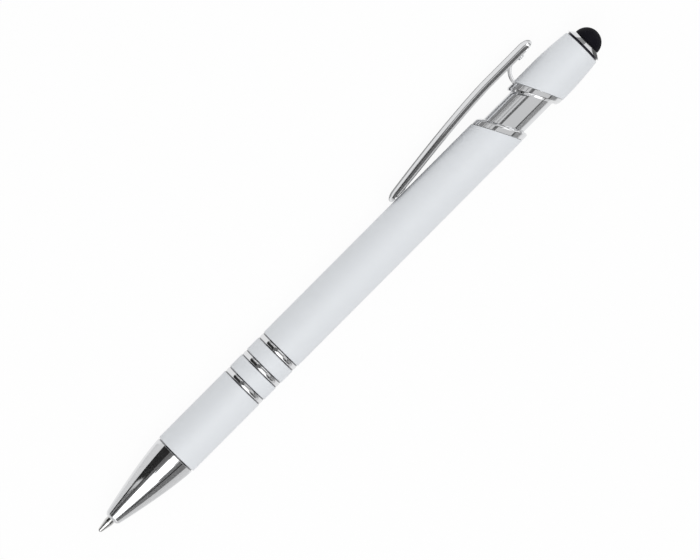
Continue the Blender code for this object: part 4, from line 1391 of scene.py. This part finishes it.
@dataclass(frozen=True)
class Studio:
    """Pale floor, soft light, cards and the camera."""

    frame_width: float = 0.14
    tilt: float = math.radians(45.1)
    aim: tuple[float, float, float] = (-0.00006, 0.0, 0.07103)
    distance: float = 1.2
    sensor: float = 36.0
    floor_size: float = 3.0
    floor_grey: float = 0.9
    floor_seen: float = 0.94
    floor_mirrored: float = 0.95
    world: float = 0.74
    lamps: tuple[Lamp, ...] = (
        Lamp("soft_lamp_1", 1.42, 14.0, 0.0, 0.6, (0.09, 0.37), -0.075),
        Lamp("soft_lamp_2", 1.42, 15.0, 0.0, 0.6, (0.09, 0.46), -0.165),
        Lamp("soft_lamp_3", 1.42, 15.0, 0.0, 0.6, (0.13, 0.665), -0.275),
        Lamp("soft_lamp_4", 1.42, 14.0, 0.0, 0.6, (0.21, 0.37), -0.445),
        Lamp("cap_lamp", 0.9, 14.0, 0.0, 0.6, (0.48, 0.42), 0.43),
        Lamp("end_lamp", 1.5, 62.0, 73.0, 0.5, (0.1, 0.24), 0.137),
        Lamp("rim_lamp", 1.4, -58.0, 62.0, 0.5, (0.16, 0.3), 0.115),
        Lamp("low_lamp", 1.2, 70.0, -42.0, 1.2, (0.25, 1.1), 0.122),
    )
    cards: tuple[Card, ...] = (
        Card("dark_strip", -27.0, -13.0, -0.6, 0.8, 0.22),
        Card("black_card", -42.0, -27.0, -0.061, 0.093, 0.04, 0.2),
        Card("black_card_low", -78.0, -42.0, -0.061, 0.093, 0.04, 0.2, shades=True),
        Card("flank_card_nib", -13.0, -3.0, -0.28, 0.0, 0.28, 0.8),
        Card("flank_card_cap", -13.0, -3.0, 0.19, 0.7, 0.28, 0.8),
        Card("gap_card", -13.0, 0.0, 0.0, 0.06, 0.05),
        Card("ring_streak", -13.0, -4.0, 0.026, 0.068, 0.12, 0.1),
        Card("ring_card", -4.0, 36.0, 0.068, 0.105, 0.3, 0.1),
        Card("nib_upper", -73.0, -60.0, -0.19, -0.137, 0.05, shades=True),
        Card("tip_upper", -73.0, -60.0, -0.6, -0.19, 0.3, shades=True),
        Card("nib_middle", -60.0, -38.0, -0.6, -0.155, 0.28),
        Card("nib_lower", -38.0, -27.0, -0.19, -0.137, 0.13),
        Card("tip_lower", -38.0, -27.0, -0.6, -0.19, 0.03),
        Card("cap_edge", -71.5, -64.0, 0.12, 0.8, 0.5, shades=True),
        Card("cap_fade", -64.0, -56.0, 0.12, 0.8, 0.65, shades=True),
        Card("cap_line", -43.0, -39.5, 0.12, 0.8, 0.4),
        Card("grey_card_nib", 38.0, 62.0, -0.4, 0.076, 0.28, 0.8),
        Card("grey_edge_nib", 62.0, 90.0, -0.4, 0.076, 0.28, 0.8, shades=True),
        Card("black_line_nib", 54.0, 60.0, -0.4, 0.076, 0.03, 0.79),
        Card("black_strip_cap", 62.0, 70.0, 0.09, 0.8, 0.15),
        Card("grey_card_cap", 70.0, 101.0, 0.09, 0.8, 0.45, shades=True),
    )
    sheets: tuple[FloorSheet, ...] = (
        FloorSheet("nib_sheet", 0.009, 0.3, -0.15, 0.02, 0.86),
        FloorSheet("nib_far_sheet", -0.3, -0.009, -0.15, 0.02, 0.8),
        FloorSheet("clip_sheet", 0.018, 0.3, 0.085, 0.17, 0.3),
        FloorSheet("clip_shadow_1", 0.006, 0.0108, 0.086, 0.105, 0.5),
        FloorSheet("clip_shadow_2", 0.007, 0.0108, 0.105, 0.117, 0.6),
        FloorSheet("clip_shadow_3", 0.0085, 0.0108, 0.117, 0.133, 0.7),
        FloorSheet("end_sheet", 0.0, 0.03, 0.148, 0.3, 0.35),
        FloorSheet("end_glint", -0.0125, 0.0, 0.153, 0.3, 0.97),
        FloorSheet("far_end_sheet", -0.014, -0.0045, 0.1395, 0.153, 0.15),
    )

    def camera(self) -> None:
        """Sets the camera square to the pen's axis, on the side that shows the clip in outline."""
        up = math.sin(self.tilt) * PEN.axis + math.cos(self.tilt) * PEN.clip
        right = math.cos(self.tilt) * PEN.axis - math.sin(self.tilt) * PEN.clip
        data = bpy.data.cameras.new("camera")
        data.sensor_width = self.sensor
        data.lens = self.sensor * self.distance / self.frame_width
        camera = put("camera", data)
        stand(camera, PEN.spot(*self.aim) + Vector(PEN.side) * self.distance, right, up, PEN.side)
        bpy.context.scene.camera = camera

    def floor(self) -> None:
        """Lays a white floor that shows as white, less so in mirrors, and still takes a soft shadow."""
        half = self.floor_size / 2
        corners = [(-half, -half, 0.0), (half, -half, 0.0), (half, half, 0.0), (-half, half, 0.0)]
        mesh = bpy.data.meshes.new("floor")
        mesh.from_pydata(corners, [], [(0, 1, 2, 3)])
        floor = put("floor", mesh)
        made = matt("floor", self.floor_grey)
        tree = made.node_tree
        shader = tree.nodes["Principled BSDF"]
        white = tree.nodes.new("ShaderNodeEmission")
        white.inputs["Color"].default_value = WHITE
        white.inputs["Strength"].default_value = 1.0
        mix = tree.nodes.new("ShaderNodeMixShader")
        tree.links.new(self.white_share(tree), mix.inputs["Fac"])
        tree.links.new(shader.outputs["BSDF"], mix.inputs[1])
        tree.links.new(white.outputs["Emission"], mix.inputs[2])
        tree.links.new(mix.outputs["Shader"], tree.nodes["Material Output"].inputs["Surface"])
        mesh.materials.append(made)

    def white_share(self, tree: bpy.types.NodeTree) -> bpy.types.NodeSocket:
        """Adds the nodes that say how far the floor is plain white to a ray.

        Args:
            tree: The floor's nodes.

        Returns:
            One share to the camera, another in mirrors and glass, and none to scattered light.
        """
        rays = tree.nodes.new("ShaderNodeLightPath")
        total = None
        for name, share in (
            ("Is Camera Ray", self.floor_seen),
            ("Is Glossy Ray", self.floor_mirrored),
            ("Is Transmission Ray", self.floor_mirrored),
        ):
            part = tree.nodes.new("ShaderNodeMath")
            part.operation = "MULTIPLY"
            part.inputs[1].default_value = share
            tree.links.new(rays.outputs[name], part.inputs[0])
            if total is None:
                total = part.outputs["Value"]
                continue
            either = tree.nodes.new("ShaderNodeMath")
            either.operation = "MAXIMUM"
            tree.links.new(total, either.inputs[0])
            tree.links.new(part.outputs["Value"], either.inputs[1])
            total = either.outputs["Value"]
        return total

    def surround(self) -> None:
        """Sets an even pale surround."""
        world = bpy.data.worlds.new("surround")
        world.use_nodes = True
        background = world.node_tree.nodes["Background"]
        background.inputs["Color"].default_value = WHITE
        background.inputs["Strength"].default_value = self.world
        bpy.context.scene.world = world

    def build(self) -> None:
        """Builds the studio round the pen."""
        bpy.context.scene.view_settings.view_transform = "Standard"
        self.camera()
        self.floor()
        self.surround()
        for prop in (*self.lamps, *self.cards, *self.sheets):
            prop.build()


def main() -> None:
    """Builds the pen's sub-assemblies and the studio."""
    logging.basicConfig(level=logging.INFO, format="%(message)s")
    for assembly in (NibEnd(), BarrelTube(), PlungerTop(), PocketClip(), ClickWorks(), Studio()):
        LOG.info("building %s", type(assembly).__name__)
        assembly.build()


if __name__ == "__main__":
    main()
